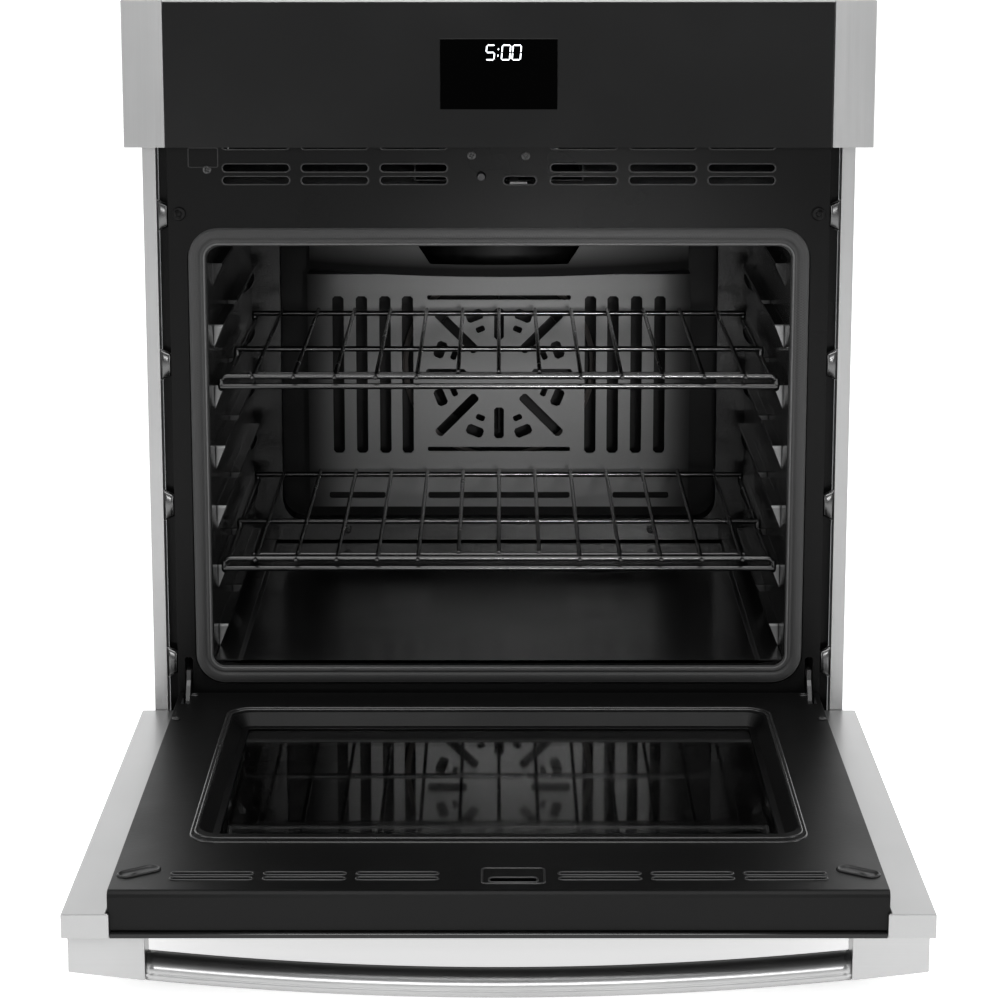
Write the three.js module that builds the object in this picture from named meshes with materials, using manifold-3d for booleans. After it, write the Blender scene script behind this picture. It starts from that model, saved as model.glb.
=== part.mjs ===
// A built-in electric wall oven with its drop-down door open, as an assembly of separate pieces.
// Millimetres, +Z up, the front faces -Y. Pieces are drawn with y = 0 on the control panel's face
// and z = 0 on the chassis's underside; the last group moves y so that the origin is the middle
// of that underside.
import * as THREE from 'three';
import { mergeVertices } from 'three/addons/utils/BufferGeometryUtils.js';
import Module from 'manifold-3d';

const wasm = await Module();
wasm.setup();

// ---- driving dimensions ----
const WIDTH = 679.5;                     // control panel and door, side to side
const HEIGHT = 727;                      // underside of the chassis to the top of the panel
const PANEL_BOTTOM = 594.6;
const FRAME_Y = 42;                      // front face of the enamelled front frame
const REAR_Y = 624;                      // back of the rear cover
const CHASSIS_HALF = 304;
const CHASSIS_TOP = 715;
const SHEET = 1.5;                       // thickness of folded sheet pieces
const SLOT_CHAMFER = 0.45;               // share of a slot's half width cut off at each corner
const GAP = 0.3;                         // clearance kept between touching pieces
const SIDE_STRIP = 37.3;                 // stainless strips at each side of panel and door
const GLASS_HALF = WIDTH / 2 - SIDE_STRIP - GAP;
const TRIM_Y = 38;                       // front of the side trims
const TRIM_HALF = 328;

const MOUTH_HALF = 271.9;                // cavity mouth, inside the gasket
const MOUTH_BOTTOM = 95.8;
const MOUTH_TOP = 499.8;
const GASKET_WIDTH = 16;
const CAVITY_HALF = 271.5;
const CAVITY_REAR = 537;
const CAVITY_FLOOR = 97;
const FLOOR_RIM = 100;
const CAVITY_TOP = 500;
const LEDGE_COUNT = 7;
const LEDGE_PITCH = 58.8;
const LEDGE_BOTTOM = 122.2;              // top face of the lowest rack ledge
const LEDGE_REACH = 9.5;
const FAN_Z = 294.5;                     // height of the convection fan's axis

const DOOR_BOTTOM = 47.5;
const DOOR_TOP = 590;
const DOOR_LINER_Y = 37;                 // inner face of the closed door
const DOOR_SIDE_DEPTH = 19.5;
const HINGE_Y = 24.8;
const HINGE_Z = 58.8;
const HINGE_X = 295.5;                   // middle of each hinge arm
const DOOR_OPEN = Math.PI / 2;
const HANDLE_BOW_OUT = 55.2;             // how far the bar's outer face stands off at mid-width
const HANDLE_BOW = 1.93e-4;              // its fall-off with the square of x
const HANDLE_THICK = 19;
const HANDLE_LOW = 548;
const HANDLE_HIGH = 576;
const HANDLE_END_X = 276.5;
const HANDLE_TIP_X = 337;

const RACK_LEVELS = { rack_lower: 1, rack_upper: 4 };
const RACK_HALF = 261.5;
const RACK_FRONT = 60;
const RACK_REAR = 452;
const RACK_WIRE = 2.8;

const DUCT_FLOOR = 544;
const DUCT_ROOF = 605;
const LATCH_Z = 560;
const LATCH_X = 14;
const LATCH_Y = 80;
const SWITCH_X = -16.2;
const SWITCH_Z = LATCH_Z + 4;

const COLOURS = {
  enamel: [0x17181a, 0.35, 0.0],
  cavityEnamel: [0x2c2d2f, 0.3, 0.0],
  stainless: [0xb4b5b6, 0.32, 1.0],
  galvanised: [0x9b9ea1, 0.45, 1.0],
  glass: [0x0c0d0f, 0.08, 0.0],
  rubber: [0x3c3d3f, 0.7, 0.0],
  chromeWire: [0x8a8b8c, 0.25, 1.0],
  heater: [0x3b3a39, 0.55, 0.6],
  insulation: [0xd9c98a, 0.95, 0.0],
  board: [0x1f5a35, 0.6, 0.0],
  blackPlastic: [0x1b1b1c, 0.6, 0.0],
  lens: [0xcfd6d8, 0.1, 0.0],
};

// ---- solids ----
const bare = (geometry) => {
  const copy = geometry.clone();
  for (const name of Object.keys(copy.attributes)) {
    if (name !== 'position') copy.deleteAttribute(name);
  }
  return mergeVertices(copy, 1e-4);
};

const toSolid = (geometry) => {
  const merged = bare(geometry);
  return new wasm.Manifold(new wasm.Mesh({
    numProp: 3,
    vertProperties: new Float32Array(merged.attributes.position.array),
    triVerts: new Uint32Array(merged.index.array),
  }));
};

const toGeometry = (solid) => {
  const mesh = solid.getMesh();
  const geometry = new THREE.BufferGeometry();
  geometry.setAttribute('position', new THREE.BufferAttribute(mesh.vertProperties, 3));
  geometry.setIndex(new THREE.BufferAttribute(mesh.triVerts, 1));
  geometry.computeVertexNormals();
  return geometry;
};

const join = (...geometries) => toGeometry(
  geometries.map(toSolid).reduce((whole, next) => whole.add(next)));

const cut = (geometry, ...tools) => toGeometry(
  tools.map(toSolid).reduce((rest, tool) => rest.subtract(tool), toSolid(geometry)));

/** Box between two x, two y and two z values. */
const box = (x0, x1, y0, y1, z0, z1) => new THREE.BoxGeometry(x1 - x0, y1 - y0, z1 - z0)
  .translate((x0 + x1) / 2, (y0 + y1) / 2, (z0 + z1) / 2);

/** Cylinder along one axis, from the start point for the given length. */
const rod = (axis, start, length, radius, sides = 16) => {
  const geometry = new THREE.CylinderGeometry(radius, radius, length, sides);
  geometry.translate(0, length / 2, 0);
  if (axis === 'x') geometry.rotateZ(-Math.PI / 2);
  if (axis === 'z') geometry.rotateX(Math.PI / 2);
  return geometry.translate(...start);
};

/** Closed rectangle outline with round corners, in a shape's own x and y. */
const roundRect = (x0, x1, y0, y1, radius, Outline = THREE.Shape) => {
  const outline = new Outline();
  outline.moveTo(x0 + radius, y0);
  outline.lineTo(x1 - radius, y0);
  outline.absarc(x1 - radius, y0 + radius, radius, -Math.PI / 2, 0, false);
  outline.lineTo(x1, y1 - radius);
  outline.absarc(x1 - radius, y1 - radius, radius, 0, Math.PI / 2, false);
  outline.lineTo(x0 + radius, y1);
  outline.absarc(x0 + radius, y1 - radius, radius, Math.PI / 2, Math.PI, false);
  outline.lineTo(x0, y0 + radius);
  outline.absarc(x0 + radius, y0 + radius, radius, Math.PI, Math.PI * 1.5, false);
  return outline;
};

/** Outline in x and z pushed through from y0 to y1. */
const plateY = (shape, y0, y1, curveSegments = 5) => new THREE.ExtrudeGeometry(
  shape, { depth: y1 - y0, bevelEnabled: false, curveSegments })
  .rotateX(Math.PI / 2).translate(0, y1, 0);

/** Outline in x and y pushed up from z0 to z1. */
const plateZ = (shape, z0, z1, curveSegments = 8) => new THREE.ExtrudeGeometry(
  shape, { depth: z1 - z0, bevelEnabled: false, curveSegments }).translate(0, 0, z0);

const SIDEWAYS = new THREE.Matrix4().makeBasis(
  new THREE.Vector3(0, 1, 0), new THREE.Vector3(0, 0, 1), new THREE.Vector3(1, 0, 0));

/** Outline in y and z pushed sideways from x0 to x1. */
const plateX = (shape, x0, x1, curveSegments = 6) => new THREE.ExtrudeGeometry(
  shape, { depth: x1 - x0, bevelEnabled: false, curveSegments })
  .applyMatrix4(SIDEWAYS).translate(x0, 0, 0);

const polygon = (points) => new THREE.Shape(points.map(([a, b]) => new THREE.Vector2(a, b)));

/** The same piece on the other side of the middle plane, still facing outwards. */
const mirrored = (geometry) => {
  const copy = bare(geometry).scale(-1, 1, 1);
  const index = copy.index.array;
  for (let i = 0; i < index.length; i += 3) {
    [index[i], index[i + 1]] = [index[i + 1], index[i]];
  }
  copy.computeVertexNormals();
  return copy;
};

/** Round bar through a list of points, with smooth bends. */
const bentRod = (points, radius, steps, sides = 6) => {
  const path = new THREE.CatmullRomCurve3(
    points.map((p) => new THREE.Vector3(...p)), false, 'centripetal');
  const section = new THREE.Shape(Array.from({ length: sides }, (_, i) => {
    const turn = (2 * Math.PI * i) / sides;
    return new THREE.Vector2(radius * Math.cos(turn), radius * Math.sin(turn));
  }));
  return new THREE.ExtrudeGeometry(section, { steps, extrudePath: path, bevelEnabled: false });
};

/** Bar that cuts a slot through y0 to y1: its middle, length, width and turn in degrees. */
const slotTool = ([x, z, length, width, degrees], y0, y1) => {
  const [a, b] = [length / 2, width / 2];
  const c = Math.min(a, b) * SLOT_CHAMFER;
  return plateY(polygon([[-a + c, -b], [a - c, -b], [a, -b + c], [a, b - c],
    [a - c, b], [-a + c, b], [-a, b - c], [-a, -b + c]]), y0, y1)
    .rotateY(-THREE.MathUtils.degToRad(degrees)).translate(x, 0, z);
};

const object = new THREE.Group();
const body = new THREE.Group();
const door = new THREE.Group();

const put = (group, name, geometry, finish) => {
  const [color, roughness, metalness] = COLOURS[finish];
  const material = new THREE.MeshStandardMaterial({ color, roughness, metalness });
  const mesh = new THREE.Mesh(geometry, material);
  mesh.name = name;
  group.add(mesh);
};

const putPair = (group, name, rightGeometry, finish) => {
  put(group, `${name}_right`, rightGeometry, finish);
  put(group, `${name}_left`, mirrored(rightGeometry), finish);
};

// ---- outer chassis: galvanised base, sides, top and rear ----
const makeChassis = () => {
  const inner = CHASSIS_HALF - SHEET;
  const front = FRAME_Y + 2;
  put(body, 'base_pan', box(-CHASSIS_HALF, CHASSIS_HALF, front, REAR_Y, 0, SHEET), 'galvanised');
  put(body, 'top_cover', box(
    -CHASSIS_HALF, CHASSIS_HALF, front, REAR_Y, CHASSIS_TOP - SHEET, CHASSIS_TOP), 'galvanised');
  const low = SHEET + GAP;
  const high = CHASSIS_TOP - SHEET - GAP;
  putPair(body, 'side_panel', box(inner, CHASSIS_HALF, front, REAR_Y, low, high), 'galvanised');
  const glandHole = rod('y', [200, REAR_Y - 5, 655], 10, 12.5);
  put(body, 'rear_cover', cut(
    box(-inner + GAP, inner - GAP, REAR_Y - SHEET, REAR_Y, low, high), glandHole), 'galvanised');
};

// ---- front frame: the enamelled plate round the cavity mouth ----
const VENT_PITCH = 72.7;
const VENT_LENGTH = 61;
const VENT_HEIGHT = 6.6;
const VENT_ROWS = [560.1, 571.6];
const VENT_TOP_ROW = 592.4;
const VENT_FIRST_X = 78.4;               // middle of the slot nearest the latch
const HINGE_SLOT = { half: 4, low: 60, high: 104 };

const ventCentres = () => [0, 1, 2].flatMap((i) => {
  const x = VENT_FIRST_X + i * VENT_PITCH;
  return [x, -x];
});

const makeFrontFrame = () => {
  const thick = 1.7;
  const reach = GASKET_WIDTH + 1;
  const outline = roundRect(-CHASSIS_HALF, CHASSIS_HALF, 22, DUCT_ROOF + 1, 2);
  outline.holes.push(roundRect(-MOUTH_HALF - reach, MOUTH_HALF + reach,
    MOUTH_BOTTOM - reach - 1, MOUTH_TOP + reach - 1, 30, THREE.Path));
  const slots = [[19.5, LATCH_Z, 29.3, 7, 0]];
  for (const z of [...VENT_ROWS, VENT_TOP_ROW]) {
    slots.push(...ventCentres().map((x) => [x, z, VENT_LENGTH, VENT_HEIGHT, 0]));
  }
  const hingeMiddle = (HINGE_SLOT.low + HINGE_SLOT.high) / 2;
  for (const side of [-1, 1]) {
    slots.push([side * HINGE_X, hingeMiddle, 2 * HINGE_SLOT.half,
      HINGE_SLOT.high - HINGE_SLOT.low, 0]);
  }
  const tools = slots.map((slot) => slotTool(slot, FRAME_Y - 1, FRAME_Y + 3));
  tools.push(rod('y', [SWITCH_X, FRAME_Y - 1, SWITCH_Z], 4, 4.2));
  const flange = [
    box(CHASSIS_HALF - 0.4, CHASSIS_HALF + 1.8, FRAME_Y, FRAME_Y + thick, 28.5, 593),
    box(CHASSIS_HALF + 0.4, CHASSIS_HALF + 1.8, FRAME_Y + 0.5, 60, 28.5, 593),
    box(CHASSIS_HALF + 1, TRIM_HALF - 12.6, 58.5, 60, 28.5, 593),
  ];
  const sheet = join(plateY(outline, FRAME_Y, FRAME_Y + thick), ...flange,
    ...flange.map(mirrored));
  put(body, 'front_frame', cut(sheet,
    ...tools), 'enamel');
};

// ---- trims that cover the edge of the cabinet cut-out ----
const TRIM_TABS = [99, 252, 387, 527];

const makeTrims = () => {
  const strip = box(TRIM_HALF - 11, TRIM_HALF, TRIM_Y, TRIM_Y + 1.2, 28.5, PANEL_BOTTOM - GAP);
  const back = box(TRIM_HALF - 12.2, TRIM_HALF - 11, TRIM_Y, TRIM_Y + 54,
    28.5, PANEL_BOTTOM - GAP);
  const tabs = TRIM_TABS.map((z) => plateY(polygon([
    [CHASSIS_HALF + 1.8 + GAP, z - 10], [TRIM_HALF - 12, z - 15],
    [TRIM_HALF - 12, z + 15], [CHASSIS_HALF + 1.8 + GAP, z + 10],
  ]), FRAME_Y + 2, FRAME_Y + 6));
  putPair(body, 'side_trim', join(strip, back, ...tabs), 'stainless');
  const face = box(-TRIM_HALF, TRIM_HALF, 34, 35.5, 2, 28);
  const lip = box(-TRIM_HALF, TRIM_HALF, 34, FRAME_Y - GAP + 1.5, 2, 3.5);
  const louvres = [-3, -2, -1, 0, 1, 2, 3].map((i) => box(
    i * 86 - 36, i * 86 + 36, 33, 37, 11, 19));
  put(body, 'bottom_vent_trim', cut(join(face, lip), ...louvres), 'enamel');
};

// ---- cavity: mouth ring, two ledged walls, roof, floor and back ----
const ringY = (half, low, high, radius, inset, insetRadius, y0, y1) => {
  const outline = roundRect(-half, half, low, high, radius);
  outline.holes.push(roundRect(-half + inset, half - inset, low + inset, high - inset,
    insetRadius, THREE.Path));
  return plateY(outline, y0, y1);
};

/** Wedge ledge on the right-hand wall: flat on top, tapering down to the wall. */
const ledge = (z, y0, y1, drop) => plateY(polygon([
  [CAVITY_HALF - LEDGE_REACH, z], [CAVITY_HALF - LEDGE_REACH, z - 3],
  [CAVITY_HALF + 0.5, z - drop], [CAVITY_HALF + 0.5, z],
]), y0, y1);

const makeCavity = () => {
  const wall = SHEET;
  const y0 = 49 + GAP;
  put(body, 'cavity_front_ring', ringY(289.6, 76, 516, 28, 17.7, 14, 47.5, 49), 'cavityEnamel');
  const ledges = [];
  for (let i = 0; i < LEDGE_COUNT; i += 1) {
    const z = LEDGE_BOTTOM + i * LEDGE_PITCH;
    const drop = i === 0 ? 16 : 24;
    ledges.push(ledge(z, 100, 222, drop), ledge(z, 250, 498, 17 < drop ? 17 : drop));
  }
  const side = box(CAVITY_HALF, CAVITY_HALF + wall, y0, CAVITY_REAR, FLOOR_RIM + GAP,
    CAVITY_TOP - GAP);
  putPair(body, 'cavity_wall', join(side, ...ledges), 'cavityEnamel');
  const lampHole = rod('z', [150, 250, CAVITY_TOP - 2], 6, 26.5, 20);
  put(body, 'cavity_roof', cut(box(-CAVITY_HALF - wall, CAVITY_HALF + wall, y0, CAVITY_REAR,
    CAVITY_TOP, CAVITY_TOP + wall), lampHole), 'cavityEnamel');
  const edge = CAVITY_HALF - GAP;
  const half = [[edge, FLOOR_RIM], [249, FLOOR_RIM], [246, CAVITY_FLOOR]];
  const under = [...half].reverse().map(([x, z]) => [x + 0.6, z - wall]);
  under[under.length - 1][0] = edge;
  const left = (points) => [...points].reverse().map(([x, z]) => [-x, z]);
  put(body, 'cavity_floor', plateY(polygon(
    [...half, ...left(half), ...left(under), ...under]), y0, CAVITY_REAR - GAP), 'cavityEnamel');
  const back = roundRect(-CAVITY_HALF - wall, CAVITY_HALF + wall, CAVITY_FLOOR - wall,
    CAVITY_TOP + wall, 1);
  back.holes.push(roundRect(-240, 240, 120.5, 480, 25, THREE.Path));
  put(body, 'cavity_back', plateY(back, CAVITY_REAR + GAP, CAVITY_REAR + GAP + wall),
    'cavityEnamel');
};

/** Round-nosed gasket in the pocket between frame and mouth ring. */
const makeGasket = () => {
  const ring = (grow, y0, y1) => ringY(MOUTH_HALF + GASKET_WIDTH - grow,
    MOUTH_BOTTOM - GASKET_WIDTH + grow, MOUTH_TOP + GASKET_WIDTH - grow, 29 - grow,
    GASKET_WIDTH - 2 * grow, 14 + grow, y0, y1);
  put(body, 'door_gasket', join(ring(3.5, 37.4, 39.7), ring(0, 39.6, 47.2)), 'rubber');
};

// ---- convection system behind the cavity ----
const COVER_Y = 500;
const COVER_HALF = 208;
const COVER_STEP = 180;
const COVER_TOP = 404;
const ROSETTE_MIDDLE = 46;               // a slanting slot's middle, across and up from the fan axis

/** Slots of the fan cover, each as x, z, length, width, turn in degrees. */
const coverSlots = () => {
  const slots = [];
  for (const side of [-1, 1]) {
    for (const x of [99.5, 124, 149.5, 175]) slots.push([side * x, 293, 174, 12.5, 90]);
    slots.push([side * 58, FAN_Z, 44, 10.7, 0]);
    for (const up of [-1, 1]) {
      slots.push([side * ROSETTE_MIDDLE, FAN_Z + up * ROSETTE_MIDDLE, 61, 10.5, side * up * 45]);
      for (const degrees of [22.5, 67.5]) {
        const turn = THREE.MathUtils.degToRad(degrees);
        for (const [r, length, width] of [[69, 19, 11.5], [53, 10, 6.6]]) {
          slots.push([side * r * Math.cos(turn), FAN_Z + up * r * Math.sin(turn), length, width,
            side * up * degrees + 90]);
        }
      }
    }
    slots.push([side * 156, 157, 62, 7, 0]);
  }
  for (const up of [-1, 1]) {
    slots.push([0, FAN_Z + up * 54.8, 34.5, 10.7, 90]);
    slots.push([0, FAN_Z + up * 84, 156, 5, 0]);
  }
  slots.push([0, 157, 156, 7, 0]);
  return slots;
};

const bottomOf = (geometry) => new THREE.Box3().setFromBufferAttribute(
  geometry.attributes.position).min.z;

const makeFanCover = () => {
  const back = COVER_Y + SHEET;
  const tools = coverSlots().map((slot) => slotTool(slot, COVER_Y - 2, COVER_Y + 12));
  const upper = cut(box(-COVER_HALF, COVER_HALF, COVER_Y, back, COVER_STEP, COVER_TOP),
    ...tools.filter((tool) => bottomOf(tool) > COVER_STEP));
  const skirt = cut(box(-COVER_HALF, COVER_HALF, COVER_Y + 8, COVER_Y + 9.5, 144, COVER_STEP + 1),
    ...tools.filter((tool) => bottomOf(tool) < COVER_STEP));
  const step = box(-COVER_HALF + 1, COVER_HALF - 1, COVER_Y + 0.5, COVER_Y + 9,
    COVER_STEP + 0.2, COVER_STEP + 1.5);
  const rims = [-1, 1].map((side) => {
    const x = side * (COVER_HALF - 1);
    return box(x - 0.7, x + 0.7, COVER_Y + 0.7, CAVITY_REAR - 3, COVER_STEP + 2, COVER_TOP - 0.4);
  });
  const top = box(-COVER_HALF + 0.5, COVER_HALF - 0.5, COVER_Y + 0.6, CAVITY_REAR - 3.2,
    COVER_TOP - SHEET, COVER_TOP - 0.2);
  put(body, 'fan_cover', join(upper, step, skirt, ...rims, top), 'cavityEnamel');
};

/** Bowed sheet over the fan cover, with an open middle. */
const makeTopDeflector = () => {
  const radius = 387;
  const centre = 467 + radius;
  const turn = Math.asin(207 / radius);
  const shape = new THREE.Shape();
  shape.absarc(0, centre, radius, -Math.PI / 2 - turn, -Math.PI / 2 + turn, false);
  shape.absarc(0, centre, radius - SHEET, -Math.PI / 2 + turn, -Math.PI / 2 - turn, true);
  const opening = plateY(polygon([[-74, 419], [74, 419], [112, 475], [-112, 475]]), 455, 500);
  put(body, 'top_deflector', cut(plateZ(shape, 406, 468, 20), opening), 'cavityEnamel');
};

const makeConvection = () => {
  const outer = roundRect(-244, 244, 116, 486, 26);
  const inner = roundRect(-242.5, 242.5, 117.5, 484.5, 25);
  const chamberY = CAVITY_REAR + SHEET + 2 * GAP;
  put(body, 'fan_chamber', cut(plateY(outer, chamberY, 580), plateY(inner, chamberY - 1, 578.5),
    rod('y', [0, 570, FAN_Z], 20, 9)), 'galvanised');
  const blades = Array.from({ length: 8 }, (_, i) => box(20, 76, 548, 571, -0.8, 0.8)
    .rotateY((i * Math.PI) / 4).translate(0, 0, FAN_Z));
  const disc = rod('y', [0, 570, FAN_Z], 1.5, 78, 32);
  const hub = rod('y', [0, 546, FAN_Z], 26, 24);
  put(body, 'convection_fan', cut(join(disc, hub, ...blades),
    rod('y', [0, 540, FAN_Z], 40, 4.4)), 'galvanised');
  const can = rod('y', [0, 584, FAN_Z], 30, 40, 24);
  const plate = box(-55, 55, 580.3, 584.2, FAN_Z - 22, FAN_Z + 22);
  const shaft = rod('y', [0, 549, FAN_Z], 36, 4, 12);
  put(body, 'convection_motor', join(can, plate, shaft), 'galvanised');
  const start = 0.1;
  const ring = Array.from({ length: 25 }, (_, i) => {
    const turn = -Math.PI / 2 + start + (i / 24) * (2 * Math.PI - 2 * start);
    return [104 * Math.cos(turn), 556, FAN_Z + 104 * Math.sin(turn)];
  });
  put(body, 'convection_element', bentRod(ring, 3.4, 40), 'heater');
};

// ---- heaters, sensor and lamp ----
/** Looped heater in a level plane: a row of long passes joined by round turns. */
const loopPath = (halfWidth, front, rear, z, passes, tail) => {
  const points = [];
  const pitch = (2 * halfWidth) / (passes - 1);
  const bend = pitch / 2;
  for (let i = 0; i < passes; i += 1) {
    const x = -halfWidth + i * pitch;
    const forward = i % 2 === 0;
    const from = i === 0 ? tail : (forward ? rear - bend : front + bend);
    const to = i === passes - 1 ? tail : (forward ? front + bend : rear - bend);
    points.push([x, from, z], [x, (from + to) / 2, z], [x, to, z]);
    if (i < passes - 1) points.push([x + bend, forward ? front : rear, z]);
  }
  return points;
};

const makeHeaters = () => {
  put(body, 'broil_element', bentRod(loopPath(190, 110, 440, 495.2, 6, 534), 3.6, 72), 'heater');
  put(body, 'bake_element', bentRod(loopPath(190, 90, 480, 87, 4, 534), 3.6, 48), 'heater');
  const probe = rod('y', [-150, 425, 490], 110, 2.6, 10);
  const flange = box(-162, -138, 534.5, 536.7, 482, 498);
  put(body, 'temperature_sensor', join(probe, flange), 'stainless');
  put(body, 'lamp_lens', rod('z', [150, 250, CAVITY_TOP - 4], 5.2, 25.5, 20), 'lens');
};

const makeInsulation = () => {
  const outer = box(-301.5, 301.5, 82, 579, 3, DUCT_FLOOR - 1);
  const inner = box(-CAVITY_HALF - 3, CAVITY_HALF + 3, 70, 590, 80, CAVITY_TOP + 3);
  const lampWell = rod('z', [150, 250, CAVITY_TOP], 60, 28, 20);
  put(body, 'insulation_wrap', cut(outer, inner, lampWell), 'insulation');
};

// ---- cooling duct and blower above the cavity ----
const BLOWER_Y = 380;

const makeCooling = () => {
  const edge = CHASSIS_HALF - SHEET - GAP;
  put(body, 'duct_roof', cut(box(-edge, edge, 44.2, REAR_Y - 2, DUCT_ROOF + 1.3, DUCT_ROOF + 2.8),
    rod('z', [0, BLOWER_Y, DUCT_ROOF - 4], 12, 52, 28)), 'galvanised');
  const scroll = (half) => {
    const shape = new THREE.Shape();
    shape.moveTo(-half, 160);
    shape.lineTo(half, 160);
    shape.lineTo(half, BLOWER_Y);
    shape.absarc(0, BLOWER_Y, half, 0, Math.PI, false);
    return shape;
  };
  const bottom = DUCT_FLOOR + 1.5;
  const scrollInner = plateZ(scroll(80), bottom + SHEET, DUCT_ROOF + 10, 10)
    .translate(0, -1, 0);
  put(body, 'blower_housing', cut(plateZ(scroll(81.5), bottom, DUCT_ROOF + 1, 10), scrollInner,
    box(-79, 79, 150, 170, bottom + SHEET, DUCT_ROOF + 10)), 'galvanised');
  const z0 = bottom + 6;
  const blades = Array.from({ length: 16 }, (_, i) => box(46, 62, -0.8, 0.8, z0 + 0.5, z0 + 40)
    .rotateZ((i * Math.PI) / 8).translate(0, BLOWER_Y, 0));
  const disc = rod('z', [0, BLOWER_Y, z0], SHEET, 63, 32);
  const hub = rod('z', [0, BLOWER_Y, z0], 20, 9);
  put(body, 'blower_wheel', cut(join(disc, hub, ...blades),
    rod('z', [0, BLOWER_Y, z0 - 2], 30, 3.4)), 'galvanised');
  const floor = DUCT_ROOF + 3.1;
  put(body, 'blower_motor', join(box(-70, 70, BLOWER_Y - 14, BLOWER_Y + 14, floor, floor + 2),
    rod('z', [0, BLOWER_Y, floor + 1], 44, 32, 24),
    rod('z', [0, BLOWER_Y, z0 + 3], floor - z0, 3, 12)), 'galvanised');
};

// ---- door latch and door switch, behind the frame ----
const makeLatch = () => {
  const arm = box(LATCH_X - 4, LATCH_X + 4, 22, LATCH_Y + 6, LATCH_Z - 1, LATCH_Z + 1);
  const catchTip = box(LATCH_X, LATCH_X + 12, 22, 30, LATCH_Z - 1, LATCH_Z + 1);
  put(body, 'latch_hook', cut(join(arm, catchTip),
    rod('z', [LATCH_X, LATCH_Y, LATCH_Z - 5], 10, 2.9)), 'galvanised');
  const plate = box(-10, 50, 60, 130, LATCH_Z + 2, LATCH_Z + 4);
  const pin = rod('z', [LATCH_X, LATCH_Y, LATCH_Z - 3], 6, 2.5, 12);
  const motor = rod('z', [30, 105, LATCH_Z + 3], 32, 20, 20);
  put(body, 'latch_motor', join(plate, pin, motor), 'galvanised');
  const x = SWITCH_X;
  const z = SWITCH_Z;
  put(body, 'door_switch', cut(box(x - 11, x + 5, 50, 78, z - 8, z + 8),
    rod('y', [x, 45, z], 24, 3.9)), 'blackPlastic');
  put(body, 'door_switch_plunger', rod('y', [x, 33, z], 27, 3.5), 'stainless');
};

// ---- hinge pieces on the chassis side ----
const makeHingeReceivers = () => {
  const low = HINGE_SLOT.low - 1;
  const high = HINGE_SLOT.high + 4;
  const cheek = (x) => box(x - 0.75, x + 0.75, 44.2, 76, low, high);
  const web = box(HINGE_X - 5.2, HINGE_X + 5.2, 74.5, 76, low, high);
  const shelf = box(HINGE_X - 5.2, HINGE_X + 5.2, 44.2, 50, low, low + 3);
  putPair(body, 'hinge_receiver', join(cheek(HINGE_X - 4.6), cheek(HINGE_X + 4.6), web, shelf),
    'galvanised');
  const arm = polygon([[HINGE_Y - 6, HINGE_Z - 2], [HINGE_Y - 3, HINGE_Z - 6],
    [HINGE_Y + 4, HINGE_Z - 6], [FRAME_Y - 2, HINGE_Z + 4], [66, 72], [72, 80], [72, 96],
    [64, 98], [52, 90], [50, 82], [47, 82], [46, 94], [40, 92], [38.5, 82.5], [34, 78],
    [HINGE_Y + 1, HINGE_Z + 7], [HINGE_Y - 5, HINGE_Z + 4]]);
  putPair(body, 'hinge_arm', cut(plateX(arm, HINGE_X - 2, HINGE_X + 2),
    rod('x', [HINGE_X - 5, HINGE_Y, HINGE_Z], 10, 3.4, 16)), 'stainless');
};

// ---- control panel ----
const makeControlPanel = () => {
  const middle = (PANEL_BOTTOM + HEIGHT) / 2;
  const glassTop = HEIGHT - SHEET - GAP;
  put(body, 'control_panel_glass', cut(box(-GLASS_HALF, GLASS_HALF, 0, 4, PANEL_BOTTOM, glassTop),
    box(-53, 53, -1, 5, middle - 31.5, middle + 31.5)), 'glass');
  put(body, 'display_window', box(-52.7, 52.7, 0.6, 4, middle - 31.2, middle + 31.2), 'lens');
  const web = cut(box(-GLASS_HALF, GLASS_HALF, 4.3, 5.5, PANEL_BOTTOM, HEIGHT),
    box(-56, 56, 3, 7, middle - 34, middle + 34));
  const top = box(-GLASS_HALF, GLASS_HALF, 0, 37, HEIGHT - SHEET, HEIGHT);
  const bottom = box(-GLASS_HALF, GLASS_HALF, 4.3, FRAME_Y - GAP, PANEL_BOTTOM, PANEL_BOTTOM + 1.4);
  const ears = [-1, 1].map((side) => box(side * 293 - 4, side * 293 + 4, 5, 43.7, 630, 690));
  put(body, 'control_panel_tray', join(web, top, bottom, ...ears), 'stainless');
  putPair(body, 'panel_end_cap', cut(
    box(GLASS_HALF + GAP, WIDTH / 2, 0, 37, PANEL_BOTTOM, HEIGHT),
    box(GLASS_HALF + GAP + 1.2, WIDTH / 2 - 1.2, 1.2, 40, PANEL_BOTTOM + 1.2, HEIGHT - 1.2)),
  'stainless');
  put(body, 'display_module', join(box(-60, 60, 7, 8.6, middle - 40, middle + 40),
    box(-50, 50, 8, 18, middle - 28, middle + 28)), 'blackPlastic');
  const relays = [0, 1, 2, 3].map((i) => box(-236 + i * 34, -214 + i * 34, 26, 42, 624, 650));
  put(body, 'control_board', join(box(-250, -90, 25, 26.6, 606, 712), ...relays,
    box(-240, -190, 26, 50, 662, 700)), 'board');
};

// ---- supply inlet: a conduit fitting clamped in the rear cover ----
const makeConduitGland = () => {
  const neck = rod('y', [200, 604, 655], 36, 12, 24);
  const nut = rod('y', [200, REAR_Y + GAP, 655], 6, 17, 6);
  const lockRing = rod('y', [200, REAR_Y - SHEET - GAP - 3, 655], 3, 16, 24);
  put(body, 'conduit_gland', cut(join(neck, nut, lockRing),
    rod('y', [200, 600, 655], 50, 9, 20)), 'galvanised');
};

// ---- wire racks ----
const RACK_PITCH = 38.6;

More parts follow.
